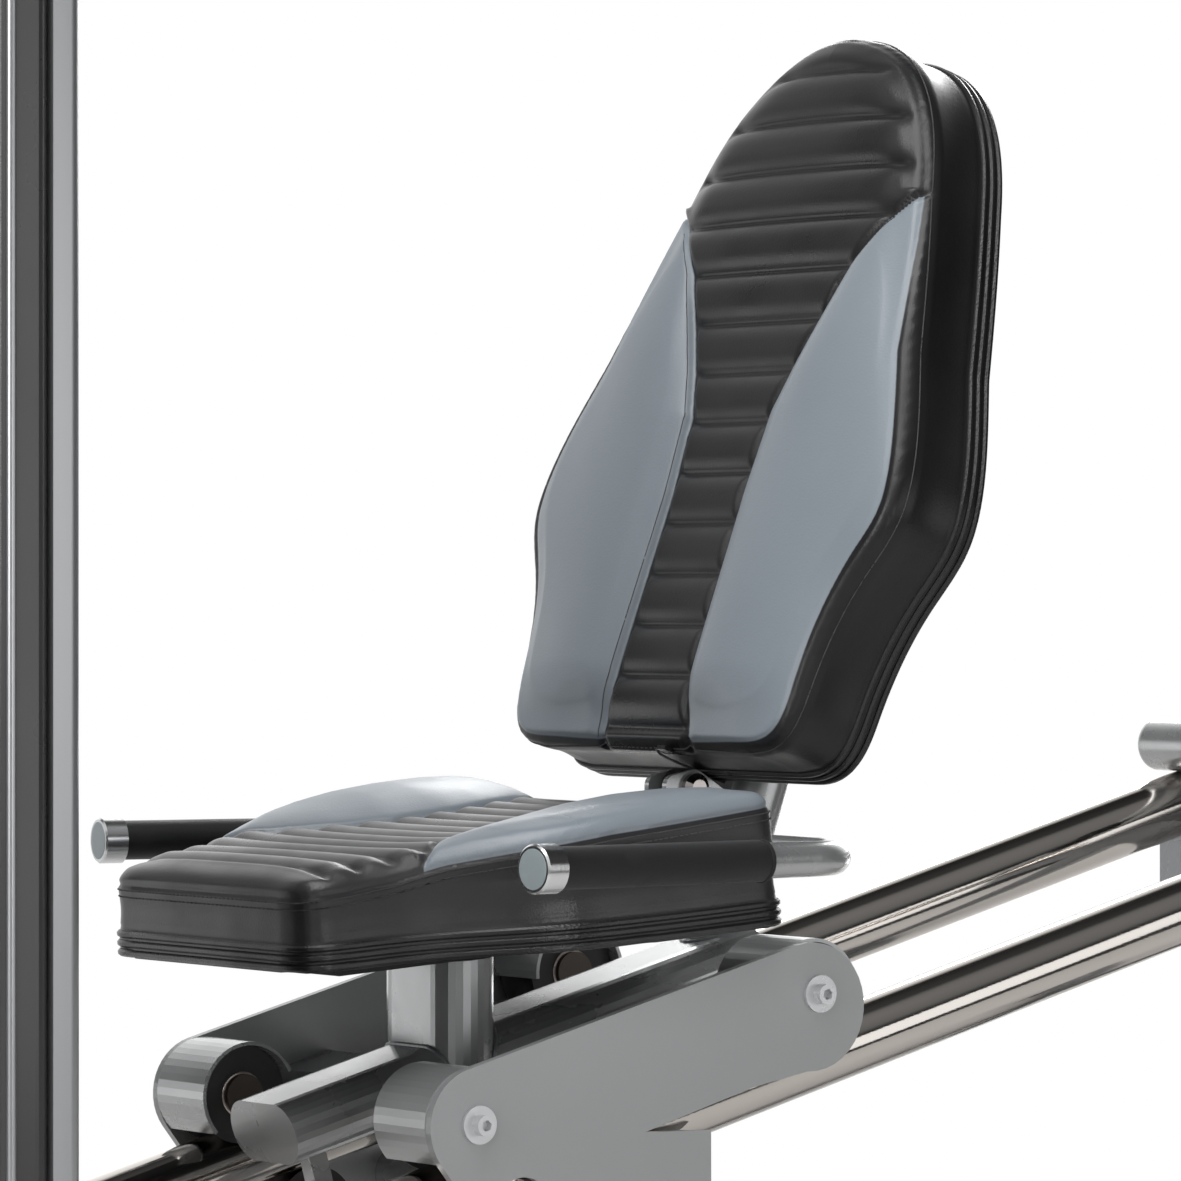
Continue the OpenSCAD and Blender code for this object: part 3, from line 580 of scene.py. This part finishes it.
BACK_DEPTH_MM = 86.0       # front face to rear board
BACK_PINNED_MM = 16        # further back than this the cloth is held
BACK_ROLL_R = 9            # rolled edge of the front
BOLSTER_RISE, INSERT_SUNK, TOP_CROWN = 13, 3.0, 5
RIB_PUFF, RIB_BASE, RIB_CUT = 6.0, 3.0, 1.6     # swelling between channels, its level, the stitched line
PANEL_SEAM_CUT, EDGE_SEAM_CUT = 3.6, 1.3
BACK_WAIST = 2.6           # how far the sides pull in
CLOTH_CAP_MM = 5
back_half = np.concatenate([
    cubic((150, -10), (188, -10), (203, 5), (206, 40)),
    cubic((206, 40), (210, 88), (222, 118), (236, 142)),
    cubic((236, 142), (252, 168), (262, 182), (262, 206)),
    cubic((262, 206), (262, 244), (240, 292), (222, 335)),
    cubic((222, 335), (205, 390), (192, 430), (172, 482)),
    cubic((172, 482), (150, 545), (105, 622), (0, 622), 30)])
back_loop = evenly(np.concatenate([back_half, [(0, 622)], back_half[::-1] * (-1, 1)]), 4)
INSERT_V = (-10, 50, 210, 280, 320, 360, 410, 445, 480)
INSERT_HALF = (63, 55, 53, 58, 73, 92, 116, 143, 178)
FIRST_CHANNEL, CHANNEL_PITCH = 51.0, 44.6
TIP_V = 474.0              # where the grey panels run out at the side


def back_half_at(v):
    """Half width of the back pad at a height."""
    return np.maximum(np.interp(v, back_half[:, 1], back_half[:, 0]), 2)


def panel_inset(v):
    """How far inside the outline the grey panels end."""
    return np.interp(v, (-10, 60, 160, 330, 430, 480), (6, 7, 13, 13, 7, 5))


def insert_half(v):
    """Half width of the dark middle strip at a height."""
    return np.interp(v, INSERT_V, INSERT_HALF)


def back_front(flat):
    """Depth of the front face: sunk insert, raised side bolsters, rolled edge."""
    y, v = np.abs(flat[:, 0]), flat[:, 1]
    half, seam = back_half_at(v), insert_half(v)
    part = np.clip((y - seam) / np.maximum(half - seam, 1), 0, 1)
    bolster = 1 - smooth_step(v, 330, 470)
    rise = np.sin(math.pi * part ** 0.62) * BOLSTER_RISE * bolster * smooth_step(v, -10, 60)
    sunk = np.where(y < seam, INSERT_SUNK, INSERT_SUNK * (1 - smooth_step(part, 0, 0.15))) * bolster
    crown = TOP_CROWN * (1 - (y / half) ** 2) * (1 - bolster)
    edge = np.clip(BACK_ROLL_R - edge_distance(flat, back_loop), 0, BACK_ROLL_R)
    return sunk - rise - crown + (BACK_ROLL_R - np.sqrt(BACK_ROLL_R ** 2 - edge ** 2)) * 0.95


def back_place(flat, depth):
    return np.stack([depth, flat[:, 0], flat[:, 1]], 1)


def back_settle(points, facing):
    """Front points exactly on the front face, free of the remesh's steps."""
    depth = np.where(facing[:, 0] < -FACING, back_front(points[:, 1:]), points[:, 0])
    return back_place(points[:, 1:], depth)


back_rows = np.concatenate([np.linspace(-10, 40, 20), np.linspace(44, 560, 130),
                            622 - 62 * np.linspace(1, 0, 26)[1:] ** 2])      # closer together at the top
back_skin = skin_of(*blank(back_rows, back_half_at, back_front, lambda f: np.full(len(f), BACK_DEPTH_MM)),
                    back_place, back_settle, "back_cushion", back_leather,
                    lambda p: p[:, 0] > BACK_PINNED_MM, CLOTH_CAP_MM)
spots, facing = read_points(back_skin) / MM, normals_of(back_skin)
depth, y, v = spots.T
flat = spots[:, 1:]
inside = insert_half(v) - np.abs(y)
rim = edge_distance(flat, back_loop)
front = smooth_step(-facing[:, 0], *PRESSED)
ribbed = np.where(v < TIP_V, smooth_step(inside, 0, 8), smooth_step(rim, 9, 26))
height = ribbed * (RIB_PUFF * puffs(v, FIRST_CHANNEL, CHANNEL_PITCH) - RIB_BASE)
channel = np.abs((v - FIRST_CHANNEL + CHANNEL_PITCH / 2) % CHANNEL_PITCH - CHANNEL_PITCH / 2)
height -= ribbed * RIB_CUT * groove(channel, 2.6)
height -= (PANEL_SEAM_CUT * groove(inside, 3.4) * (v < TIP_V + 6)
           + EDGE_SEAM_CUT * groove(rim - panel_inset(v), 2.4))
wall = 1 - smooth_step(np.abs(facing[:, 0]), 0.3, 0.7)
between = np.clip((depth - 20) / 45, 0, 1)
lean = -BACK_WAIST * np.sin(math.pi * between) - 0.9 * groove(depth - 62, 2.0)
move = facing * (front * height + wall * lean)[:, None]
write_points(back_skin, (spots + move) * MM)
mark(back_skin, "insert_mm", np.where(v < TIP_V, inside, 6.0))
mark(back_skin, "gusset_mm", np.where(depth > 25, 8, panel_inset(v) - rim))
back_tree = BVHTree.FromPolygons([tuple(p) for p in read_points(back_skin)],
                                 [tuple(p.vertices) for p in back_skin.data.polygons])


def loop_normals(loop):
    """Outward 2-D directions of a loop that runs anticlockwise."""
    along = np.roll(loop, -1, 0) - np.roll(loop, 1, 0)
    along /= np.linalg.norm(along, axis=1)[:, None]
    return np.stack([along[:, 1], -along[:, 0]], 1)


def back_ring(at_depth, lift):
    """A line round the back pad's gusset at one depth behind its front."""
    out = loop_normals(back_loop)
    starts = np.stack([np.full(len(back_loop), at_depth), *(back_loop + out * RAY_OUT_MM).T], 1) * MM
    return dropped_on(back_tree, starts, np.stack([np.zeros(len(out)), *(-out).T], 1), lift)


piping = Shape()
for at_depth, radius in ((66, 0.0026), (74, 0.0030), (82, 0.0030)):
    line = np.stack([np.full(len(back_loop), at_depth), *(back_loop - loop_normals(back_loop) * 0.6).T], 1) * MM
    piping.add(*tube(line, radius, 8, True), BACK)
piping.piece("back_piping", SKINS["black_leather"], "backrest", "black_leather")

thread = Shape()
ring, ring_up = back_ring(12.5, STITCH_LIFT)
sew(thread, ring, ring_up, BACK, closed=True)
seam_v = np.arange(0, 452, 4.0)
for side in (-1, 1):
    starts = np.stack([np.full(len(seam_v), -60.0), side * (insert_half(seam_v) + 5.5), seam_v], 1) * MM
    line, up = dropped_on(back_tree, starts, np.tile((1.0, 0, 0), (len(seam_v), 1)), 0.0001)
    sew(thread, line, up, BACK, radius=0.00035)
thread.piece("back_stitches", seam_thread, "backrest", "black_leather")


# ---------------------------------------------------------------- seat cushion
# x is the distance from the seat's front edge, y from its middle, z the height above its base, in mm

seat_half = np.concatenate([
    cubic((0, 118), (0, 148), (8, 158), (42, 160)),
    cubic((42, 160), (150, 160), (140, 224), (250, 233), 20),
    cubic((250, 233), (290, 238), (335, 238), (374, 236)),
    cubic((374, 236), (392, 235), (400, 226), (400, 204))])
seat_loop = evenly(np.concatenate([seat_half, [(400, 204), (400, -204)], seat_half[::-1] * (1, -1)]), 4)
FIRST_RIB, RIB_PITCH = 29.0, 29.0
WING_X = (88, 105, 145, 196, 240, 300, 400)      # inner seam of the grey wings
WING_HALF = (186, 166, 134, 107, 92, 90, 102)
WING_TIP = 104.0
SEAT_PINNED_MM = 50        # lower than this the cloth is held
SEAT_ROLL_R = 14           # rolled edge of the top
SEAT_PUFF, SEAT_RIB_BASE = 6.4, 3.6
WING_SEAM_CUT, SIDE_SEAM_CUT, PIPING_CUT = 3.4, 2.0, 0.9
SEAT_WAIST = 2.4


def seat_half_at(x):
    """Half width of the seat pad at a distance from its front."""
    return np.maximum(np.interp(x, seat_half[:, 0], seat_half[:, 1]), 2)


def seam_height(x):
    """Height of the stitched seam between the seat's top and its black sides."""
    return np.interp(x, (0, 40, 80, 120, 180, 240, 400), (59, 61, 65, 74, 82, 88, 96))


def wing_half(x):
    """Half width of the ribbed middle between the grey wings."""
    return np.where(x < WING_X[0], 400.0, np.interp(x, WING_X, WING_HALF))


def seat_top(flat):
    """Height of the top: ribbed middle, wings that rise beside the thighs, rolled edge."""
    x, y = flat[:, 0], np.abs(flat[:, 1])
    half, seam = seat_half_at(x), wing_half(x)
    centre = np.interp(x, (0, 30, 60, 240, 400), (72, 76, 77, 83, 91))
    base = centre + (seam_height(x) + 11 - centre) * (y / half) ** 3
    part = np.clip((y - seam) / np.maximum(half - seam, 1), 0, 1)
    tall = np.interp(x, (100, 130, 165, 205, 250, 290, 330, 365, 400), (0, 4, 9, 13, 17, 18, 16, 12, 7))
    rise = tall * np.sin(math.pi * part ** 0.95) ** 0.85
    edge = np.clip(SEAT_ROLL_R - edge_distance(flat, seat_loop), 0, SEAT_ROLL_R)
    return base + rise - (SEAT_ROLL_R - np.sqrt(SEAT_ROLL_R ** 2 - edge ** 2)) * 0.9


def seat_place(flat, height):
    return np.stack([flat[:, 0], flat[:, 1], height], 1)


def seat_settle(points, facing):
    """Top points exactly on the top face, free of the remesh's steps."""
    height = np.where(facing[:, 2] > FACING, seat_top(points[:, :2]), points[:, 2])
    return seat_place(points[:, :2], height)


seat_rows = np.concatenate([np.linspace(0, 12, 8), np.linspace(15, 384, 100), np.linspace(387, 400, 7)])
flat_seat, _, _, seat_faces = blank(seat_rows, seat_half_at, lambda f: f[:, 0], lambda f: f[:, 0])
flat_seat = flat_seat[:, ::-1]
seat_skin = skin_of(flat_seat, seat_top(flat_seat), np.zeros(len(flat_seat)), seat_faces, seat_place,
                    seat_settle, "seat_cushion", seat_leather, lambda p: p[:, 2] < SEAT_PINNED_MM,
                    CLOTH_CAP_MM)
spots, facing = read_points(seat_skin) / MM, normals_of(seat_skin)
x, y, z = spots.T
inside = wing_half(x) - np.abs(y)
rim = edge_distance(spots[:, :2], seat_loop)
top = smooth_step(facing[:, 2], *PRESSED)
ribbed = np.where(x < WING_TIP, smooth_step(rim, 6, 20), smooth_step(inside, 0, 8))
ribbed = ribbed * smooth_step(x, FIRST_RIB - 8, FIRST_RIB) * (1 - smooth_step(x, 381, 389))
height = ribbed * (SEAT_PUFF * puffs(x, FIRST_RIB, RIB_PITCH, 2.2) - SEAT_RIB_BASE)
height -= WING_SEAM_CUT * groove(inside, 3.2) * (x > WING_TIP - 8) * (x < 394)
wall = 1 - smooth_step(np.abs(facing[:, 2]), 0.3, 0.7)
below = seam_height(x) - z
lean = -SEAT_WAIST * np.sin(math.pi * np.clip((z - 20) / 40, 0, 1))
lean = lean - SIDE_SEAM_CUT * groove(below, 2.2) - PIPING_CUT * groove(z - 24, 2.0)
write_points(seat_skin, (spots + facing * (top * height + wall * lean)[:, None]) * MM)
mark(seat_skin, "insert_mm", np.maximum(inside * 0.85, WING_TIP - x))
mark(seat_skin, "gusset_mm", below)
seat_tree = BVHTree.FromPolygons([tuple(p) for p in read_points(seat_skin)],
                                 [tuple(p.vertices) for p in seat_skin.data.polygons])


def seat_ring(heights, lift):
    """A line round the seat's sides at heights given by a function of x."""
    out = -loop_normals(seat_loop)
    starts = np.stack([*(seat_loop + out * RAY_OUT_MM).T, heights(seat_loop[:, 0])], 1) * MM
    return dropped_on(seat_tree, starts, np.stack([*(-out).T, np.zeros(len(out))], 1), lift)


piping = Shape()
for level, radius in ((4, 0.0032), (11.5, 0.0032), (19, 0.0030)):
    line = np.stack([*(seat_loop + loop_normals(seat_loop) * 0.8).T, np.full(len(seat_loop), level)], 1) * MM
    piping.add(*tube(line, radius, 8, True), SEAT)
piping.piece("seat_piping", SKINS["black_leather"], "carriage", "black_leather")
thread = Shape()
for drop in (4.5, 10.0):
    ring, ring_up = seat_ring(lambda x, drop=drop: seam_height(x) - drop, STITCH_LIFT)
    sew(thread, ring, ring_up, SEAT, closed=True)
thread.piece("seat_stitches", seam_thread, "carriage", "black_leather")

for skin, matrix, node, body in ((back_skin, BACK, "back_pad", "backrest"),
                                 (seat_skin, SEAT, "seat_pad", "carriage")):
    skin.data.transform(matrix)
    skin.data.update()
    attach(skin, body)
    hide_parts(node)


# Pull tab and draw cord of the cover, at the middle of the back pad's lower edge
CORD_MM = [(9.0, -22, -8.6), (11, -17, -10.2), (18, -13, -11.2), (30, -10, -11.4), (44, -9, -11.4),
           (58, -10, -11.3)]
CORD_R = 0.0011
draw = Shape()
draw.add(*tube(evenly(np.array(CORD_MM) * MM, 0.0015, False), CORD_R, 8), BACK)
draw.piece("back_draw_cord", SKINS["cable"], "backrest", "black_leather")
TAB_MM = ((3, -40), (9, -40), (14, -38), (16, -34), (14, -30), (9, -28), (3, -28))
TAB_BOTTOM, TAB_TOP = -11.6, -8.0
tab = Shape()
points, faces = slab([[(n, y, v) for n, y in TAB_MM] for v in (TAB_TOP, TAB_BOTTOM)])
tab.add(points * MM, faces, BACK)
tab.piece("back_tab", SKINS["black_leather"], "backrest", "black_leather")


# ---------------------------------------------------------------- fittings

ACROSS = Matrix.Rotation(-math.pi / 2, 4, "X")      # z axis onto +Y


def face_ring(profile_mm, node, side):
    """A ring turned round a wheel or pulley's axle, on one of its faces."""
    low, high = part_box(node)
    centre = middle(node)
    face = high.y if side > 0 else low.y
    turn = ACROSS if side > 0 else Matrix.Rotation(math.pi / 2, 4, "X")
    place = Matrix.Translation((centre.x, face, centre.z)) @ turn
    return turned(np.array(profile_mm, float) * MM, place)


BEARING_MM = [(11.5, -0.4), (19, -0.4), (19, 0.7), (18.3, 1.1), (16.6, 1.1), (16.1, 0.3), (14.1, 0.3),
              (13.6, 1.0), (12.2, 1.0), (11.5, 0.6)]
for node in frame["nodes"]:
    if node.startswith(("wheel_", "guide_roller_")) or node in ("base_pulley", "top_pulley"):
        bearing = Shape()
        for side in (-1, 1):
            bearing.add(*face_ring(BEARING_MM, node, side))
        bearing.piece("bearings_" + node, bearing_steel, node, "zinc")

# Inlaid disc in the front of each handle cap, and a collar where the grip ends on its tube
FLARE = math.radians(7.6)        # how much the handles spread towards the front
CAP_X, CAP_Y = -0.225, 0.335     # front face of the left cap
GRIP_END = 0.232                 # from there to the rear end of the grip
DISC_MM = [(0, -1), (15.2, -1), (15.8, -0.4), (15.6, 0.25), (14.2, 0.45), (7, 0.6), (0, 0.65)]
COLLAR_MM = [(14.2, -1), (16.9, -1), (17.3, 0.5), (16.9, 2.4), (15.2, 3.4), (14.2, 3.4)]
discs, collars = Shape(), Shape()
for side in (-1, 1):
    cap = Vector((CAP_X, side * CAP_Y, middle("handle_caps").z))
    out = Vector((-math.cos(FLARE), side * math.sin(FLARE), 0))
    discs.add(*turned(np.array(DISC_MM) * MM, looking_along(cap, out), 48))
    collars.add(*turned(np.array(COLLAR_MM) * MM, looking_along(cap - out * GRIP_END, -out), 40))
discs.piece("cap_discs", cap_disc_skin, "carriage", "alu_cap")
collars.piece("grip_collars", SKINS["rubber"], "carriage", "rubber")


def mesh_tree(node):
    """A CAD node's surface, for casting rays at it."""
    mesh = frame["nodes"][node].data
    return BVHTree.FromPolygons([v.co[:] for v in mesh.vertices], [tuple(p.vertices) for p in mesh.polygons])


def weld(shape, below, starts, direction, radius=0.0021):
    """A rippled bead laid where lines from the starts meet a CAD node."""
    tree, run = mesh_tree(below), []
    for start in list(starts) + [None]:
        hit = tree.ray_cast(Vector(start), Vector(direction), 0.3)[0] if start is not None else None
        if hit is not None:
            run.append(np.array(hit))
            continue
        if len(run) > 6:
            shape.add(*tube(np.array(run), radius, 8, ripple=0.13))
        run = []


beads = Shape()
BEAD_OUT, BEAD_STEP, BEAD_TOP = 0.0012, 0.0022, 0.47
BACK_FOOT, BACK_BEAD_R = 0.129, 0.0252      # back post's axis behind the pad's front, and the bead's radius
low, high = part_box("seat_post")
post, round_r = middle("seat_post"), (high.x - low.x) / 2
radius, straight = round_r + BEAD_OUT, (high.y - low.y) / 2 - round_r
turns = np.linspace(0, 2 * math.pi, 150, False)
starts = [(post.x + radius * math.cos(a), radius * math.sin(a) + math.copysign(straight, math.sin(a)), BEAD_TOP)
          for a in turns]
weld(beads, "spine_tube", evenly(starts, BEAD_STEP), (0, 0, -1))
back_turn = BACK.to_3x3()
back_up, back_x = back_turn @ Vector((0, 0, 1)), back_turn @ Vector((1, 0, 0))
foot = BACK @ Vector((BACK_FOOT, 0, 0))
starts = [foot + back_x * BACK_BEAD_R * math.cos(a) + Vector((0, BACK_BEAD_R * math.sin(a), 0))
          for a in turns[::2]]
weld(beads, "spine_tube", starts, -back_up)
beads.piece("welds", weld_skin, "carriage", "silver_paint")

# Cables: the stretch along the rails and the drop to the stack change length, the wraps stay on the pulleys
CABLE_R, CABLE_SIDES = 0.003, 14


def cable_ends(node):
    """The two ends of a slanting cable's centre line, from its CAD box."""
    low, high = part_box(node)
    return (Vector((low.x + CABLE_R * math.sin(SLOPE), 0, low.z + CABLE_R * math.cos(SLOPE))),
            Vector((high.x - CABLE_R * math.sin(SLOPE), 0, high.z - CABLE_R * math.cos(SLOPE))))


def taut_cable(name, start, end, rings, node):
    """A straight cable from the frame to a moving body, in place of its CAD node."""
    run = Shape()
    run.add(*tube(np.linspace(start, end, rings), CABLE_R, CABLE_SIDES))
    cable = run.piece(name, SKINS["cable"], None, "cable")
    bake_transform(cable)
    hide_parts(node)


low_start, low_end = cable_ends("cable_low")
taut_cable("cable_along_rails", low_start, low_end, 90, "cable_low")
drop, (drop_low, drop_high) = middle("cable_drop"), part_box("cable_drop")
taut_cable("cable_to_stack", Vector((drop.x, 0, drop_high.z)), Vector((drop.x, 0, drop_low.z)), 120,
           "cable_drop")
wraps = Shape()
riser = middle("cable_riser").x
for pulley, first, last in (("base_pulley", 180, 270 + math.degrees(SLOPE)), ("top_pulley", 0, 180)):
    hub = Vector(JOINTS[pulley + "_spin"]["pos_m"])
    reach = abs(riser - hub.x)
    wraps.add(*tube([(hub.x + reach * math.cos(a), 0, hub.z + reach * math.sin(a))
                     for a in np.radians(np.linspace(first, last, 40))], CABLE_R, CABLE_SIDES))
wraps.piece("cable_wraps", SKINS["cable"], "frame", "cable")

# Crimped end of the cable at the carriage
FERRULE_MM = [(3.1, 0), (5.2, 0), (6.2, 1.2), (6.2, 8), (5.6, 9), (6.2, 10), (6.2, 18), (5.6, 19), (6.2, 20),
              (6.2, 30), (4.8, 36), (3.1, 38)]
ferrule = Shape()
toward = (low_start - low_end).normalized()
ferrule.add(*turned(np.array(FERRULE_MM) * MM, looking_along(low_end + toward * 0.001, toward), 28))
ferrule.piece("cable_ferrule", SKINS["zinc"], "carriage", "zinc")

# Bright round strip down each tower post, and a pale rounded edge behind it: the edge widens the post's rounded
# corner, and its pale polish is a painted highlight on that dark corner
TOWER_SIDE_Y = 0.2989            # side face of the left post
STRIP_X, STRIP_R, STRIP_SHORT = -0.650, 0.0038, 0.02
EDGE_W, EDGE_R = 0.026, 0.012
post_low, post_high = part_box("tower_post_left")
EDGE_X, INNER_Y = post_high.x - 0.0005, TOWER_SIDE_Y - EDGE_W
ROUND_X, QUARTER = EDGE_X + EDGE_W - EDGE_R, np.radians(range(0, 91, 10))
edge_rings = [(post_low.z + 0.012, 0.93), (post_low.z + 0.014, 1),
              (post_high.z - 0.014, 1), (post_high.z - 0.012, 0.93)]      # height and share of the full width
trims, edges = Shape(), Shape()
for side in (-1, 1):
    heights = np.linspace(post_low.z + STRIP_SHORT, post_high.z - STRIP_SHORT, 24)
    trims.add(*tube([(STRIP_X, side * TOWER_SIDE_Y, z) for z in heights], STRIP_R, 16))
    profile = [(EDGE_X, INNER_Y)]
    profile += [(ROUND_X + EDGE_R * math.sin(a), INNER_Y + EDGE_R - EDGE_R * math.cos(a)) for a in QUARTER]
    profile += [(ROUND_X + EDGE_R * math.cos(a), TOWER_SIDE_Y - EDGE_R + EDGE_R * math.sin(a)) for a in QUARTER]
    profile += [(EDGE_X, TOWER_SIDE_Y)]
    edges.add(*slab([[(EDGE_X + (x - EDGE_X) * k, side * (TOWER_SIDE_Y + (y - TOWER_SIDE_Y) * k), z)
                      for x, y in profile] for z, k in edge_rings]))
trims.piece("tower_trim", trim_and_highlight_polish, "frame", "rod_chrome")
# pale polish on the dark posts' corners: painted highlight
edges.piece("tower_edge_highlights", trim_and_highlight_polish, "frame", "silver_paint")

# Rubber mat with round studs on the foot plate
plate_low, plate_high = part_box("foot_plate")
MAT_HALF_Y, MAT_HALF_Z, MAT_R = 0.205, 0.165, 0.02
mat = Shape()
centre_z = (plate_low.z + plate_high.z) / 2
corners = [(MAT_HALF_Y - MAT_R, MAT_HALF_Z - MAT_R, 0), (MAT_R - MAT_HALF_Y, MAT_HALF_Z - MAT_R, 90),
           (MAT_R - MAT_HALF_Y, MAT_R - MAT_HALF_Z, 180), (MAT_HALF_Y - MAT_R, MAT_R - MAT_HALF_Z, 270)]
outline = [(y + MAT_R * math.cos(math.radians(a + b)), z + MAT_R * math.sin(math.radians(a + b)))
           for y, z, a in corners for b in range(0, 91, 10)]
mat.add(*slab([[(plate_high.x + x, y * k, centre_z + z * k) for y, z in outline]
               for x, k in ((0.0, 1.0), (0.0022, 1.0), (0.003, 0.994))]))
STUD_MM = [(0, -0.6), (8, -0.6), (8, 0.6), (6.9, 1.7), (4, 2.3), (0, 2.5)]
STUD_PITCH = 0.026
turn_x = Matrix.Rotation(math.pi / 2, 4, "Y")
for i in range(-7, 8):
    for j in range(-5, 6):
        y = i * STUD_PITCH + (j % 2) * STUD_PITCH / 2 - STUD_PITCH / 4
        mat.add(*turned(np.array(STUD_MM) * MM, Matrix.Translation(
            (plate_high.x + 0.003, y, centre_z + j * STUD_PITCH)) @ turn_x, 14))
mat.piece("foot_plate_mat", SKINS["rubber"], "frame", "rubber")

# Moulded board over the back of the pad, with its screws
BOARD_INSET, SCREW_V = 9.0, (60, 200, 340, 480)
board = Shape()
points, faces = slab([[(n, *(p - out * (BOARD_INSET + k)))
                       for p, out in zip(back_loop, loop_normals(back_loop))]
                      for n, k in ((84.5, 0), (87.0, 0), (87.9, 1.0))])
board.add(points * MM, faces, BACK)
board.piece("back_board", SKINS["black_plastic"], "backrest", "black_plastic")
SCREW_MM = [(2.0, 0.2), (2.0, -1), (6.5, -1), (6.5, 0.8), (5.4, 2.0), (3.2, 2.5), (2.0, 2.5), (2.0, 1.2)]
screws = Shape()
for v_at in SCREW_V:
    for side in (-1, 1):
        spot = BACK @ Vector((88 * MM, side * (back_half_at(v_at) - 24) * MM, v_at * MM))
        screws.add(*turned(np.array(SCREW_MM) * MM, Matrix.Translation(spot)
                           @ Matrix.Rotation(math.pi / 2 + BACK_LEAN, 4, "Y"), 20))
screws.piece("board_screws", SKINS["zinc"], "backrest", "zinc")


# ---------------------------------------------------------------- floor, lights, camera

FLOOR_RADIUS = 2.4
floor_mesh = bpy.data.meshes.new("floor")
edge = [(FLOOR_RADIUS * math.cos(a), FLOOR_RADIUS * math.sin(a), 0)
        for a in np.linspace(0, 2 * math.pi, 96, False)]
floor_mesh.from_pydata(edge, [], [tuple(range(len(edge)))])
floor = bpy.data.objects.new("floor", floor_mesh)
bpy.context.scene.collection.objects.link(floor)
floor_mesh.materials.append(finish("pale_floor", (0.66, 0.65, 0.64), 0.7, 0.0, 0.01, ("noise", 60, 0.03),
                                   scuffs=0.02))


def soft_light(name, place, aim, width, height, power):
    """A rectangular soft box, in metres and watts."""
    data = bpy.data.lights.new(name, "AREA")
    data.shape = "RECTANGLE"
    data.size, data.size_y, data.energy = width, height, power
    light = bpy.data.objects.new(name, data)
    light.location = place
    light.rotation_euler = (Vector(aim) - Vector(place)).to_track_quat("-Z", "Y").to_euler()
    bpy.context.scene.collection.objects.link(light)


soft_light("overhead", (-1.0, -0.5, 3.3), (0, 0, 0.6), 2.2, 2.2, 66)
soft_light("user_side", (-3.6, -1.0, 1.7), (0, 0, 0.7), 1.6, 2.0, 56)
soft_light("near_low", (-0.9, -3.9, 0.7), (0, 0, 0.4), 1.2, 0.8, 12)
soft_light("near_right", (1.9, -4.2, 0.95), (0.2, 0, 0.5), 3.2, 1.8, 24)
soft_light("far_side", (2.3, 2.2, 2.3), (0, 0, 0.7), 1.8, 0.8, 34)
soft_light("far_strip", (2.9, 1.5, 0.9), (-0.5, 0, 0.8), 0.5, 1.8, 10)

world = bpy.data.worlds.new("studio")
bpy.context.scene.world = world
world.use_nodes = True
nodes, links = world.node_tree.nodes, world.node_tree.links
seen = nodes["Background"]
seen.inputs["Color"].default_value = (1, 1, 1, 1)
lit = nodes.new("ShaderNodeBackground")
direction = nodes.new("ShaderNodeTexCoord").outputs["Generated"]


def glow(aim, levels):
    """Grey level of the studio walls by how nearly a direction points along aim."""
    toward = nodes.new("ShaderNodeVectorMath")
    toward.operation = "DOT_PRODUCT"
    toward.inputs[1].default_value = Vector(aim).normalized()
    links.new(direction, toward.inputs[0])
    ramp = nodes.new("ShaderNodeValToRGB")
    links.new(remap(nodes, links, toward.outputs["Value"], -1, 1, 0, 1), ramp.inputs["Fac"])
    while len(ramp.color_ramp.elements) < len(levels):
        ramp.color_ramp.elements.new(0.5)
    for element, (place, level) in zip(ramp.color_ramp.elements, levels):
        element.position = place
        element.color = (level, level, level, 1)
    return ramp.outputs["Color"]


def add_light(first, second):
    """The sum of two colours."""
    total = nodes.new("ShaderNodeMix")
    total.data_type = "RGBA"
    total.blend_type = "ADD"
    total.inputs["Factor"].default_value = 1
    links.new(first, total.inputs["A"])
    links.new(second, total.inputs["B"])
    return total.outputs["Result"]


backdrop = glow((0.5, 0.85, 0.12), ((0, 0), (0.80, 0), (0.88, 0.85), (1.0, 1.1)))
room = glow((-0.8, -0.2, 0.55), ((0, 0.10), (0.35, 0.02), (0.6, 0.02), (0.78, 0.10), (0.88, 0.5), (1.0, 0.65)))
ceiling = glow((0.24, -0.6, 0.76), ((0, 0), (0.94, 0), (0.97, 0.12), (1.0, 0.16)))
far_corner = glow((-0.55, 0.83, -0.08), ((0, 0), (0.982, 0), (0.992, 1.1), (1.0, 1.2)))
links.new(add_light(add_light(backdrop, room), add_light(ceiling, far_corner)), lit.inputs["Color"])
lit.inputs["Strength"].default_value = 1.2
either = nodes.new("ShaderNodeMixShader")
links.new(nodes.new("ShaderNodeLightPath").outputs["Is Camera Ray"], either.inputs["Fac"])
links.new(lit.outputs[0], either.inputs[1])
links.new(seen.outputs[0], either.inputs[2])
links.new(either.outputs[0], nodes["World Output"].inputs["Surface"])
bpy.context.scene.view_settings.view_transform = "Standard"

VIEW_AZIMUTH = math.radians(33.5)
camera = bpy.data.objects.new("camera", bpy.data.cameras.new("camera"))
camera.location = (-2.872, -4.413, 0.770)
camera.rotation_euler = (math.pi / 2, 0, -VIEW_AZIMUTH)
camera.data.lens = 196.8
camera.data.sensor_width = 36
camera.data.clip_end = 50
bpy.context.scene.collection.objects.link(camera)
bpy.context.scene.camera = camera
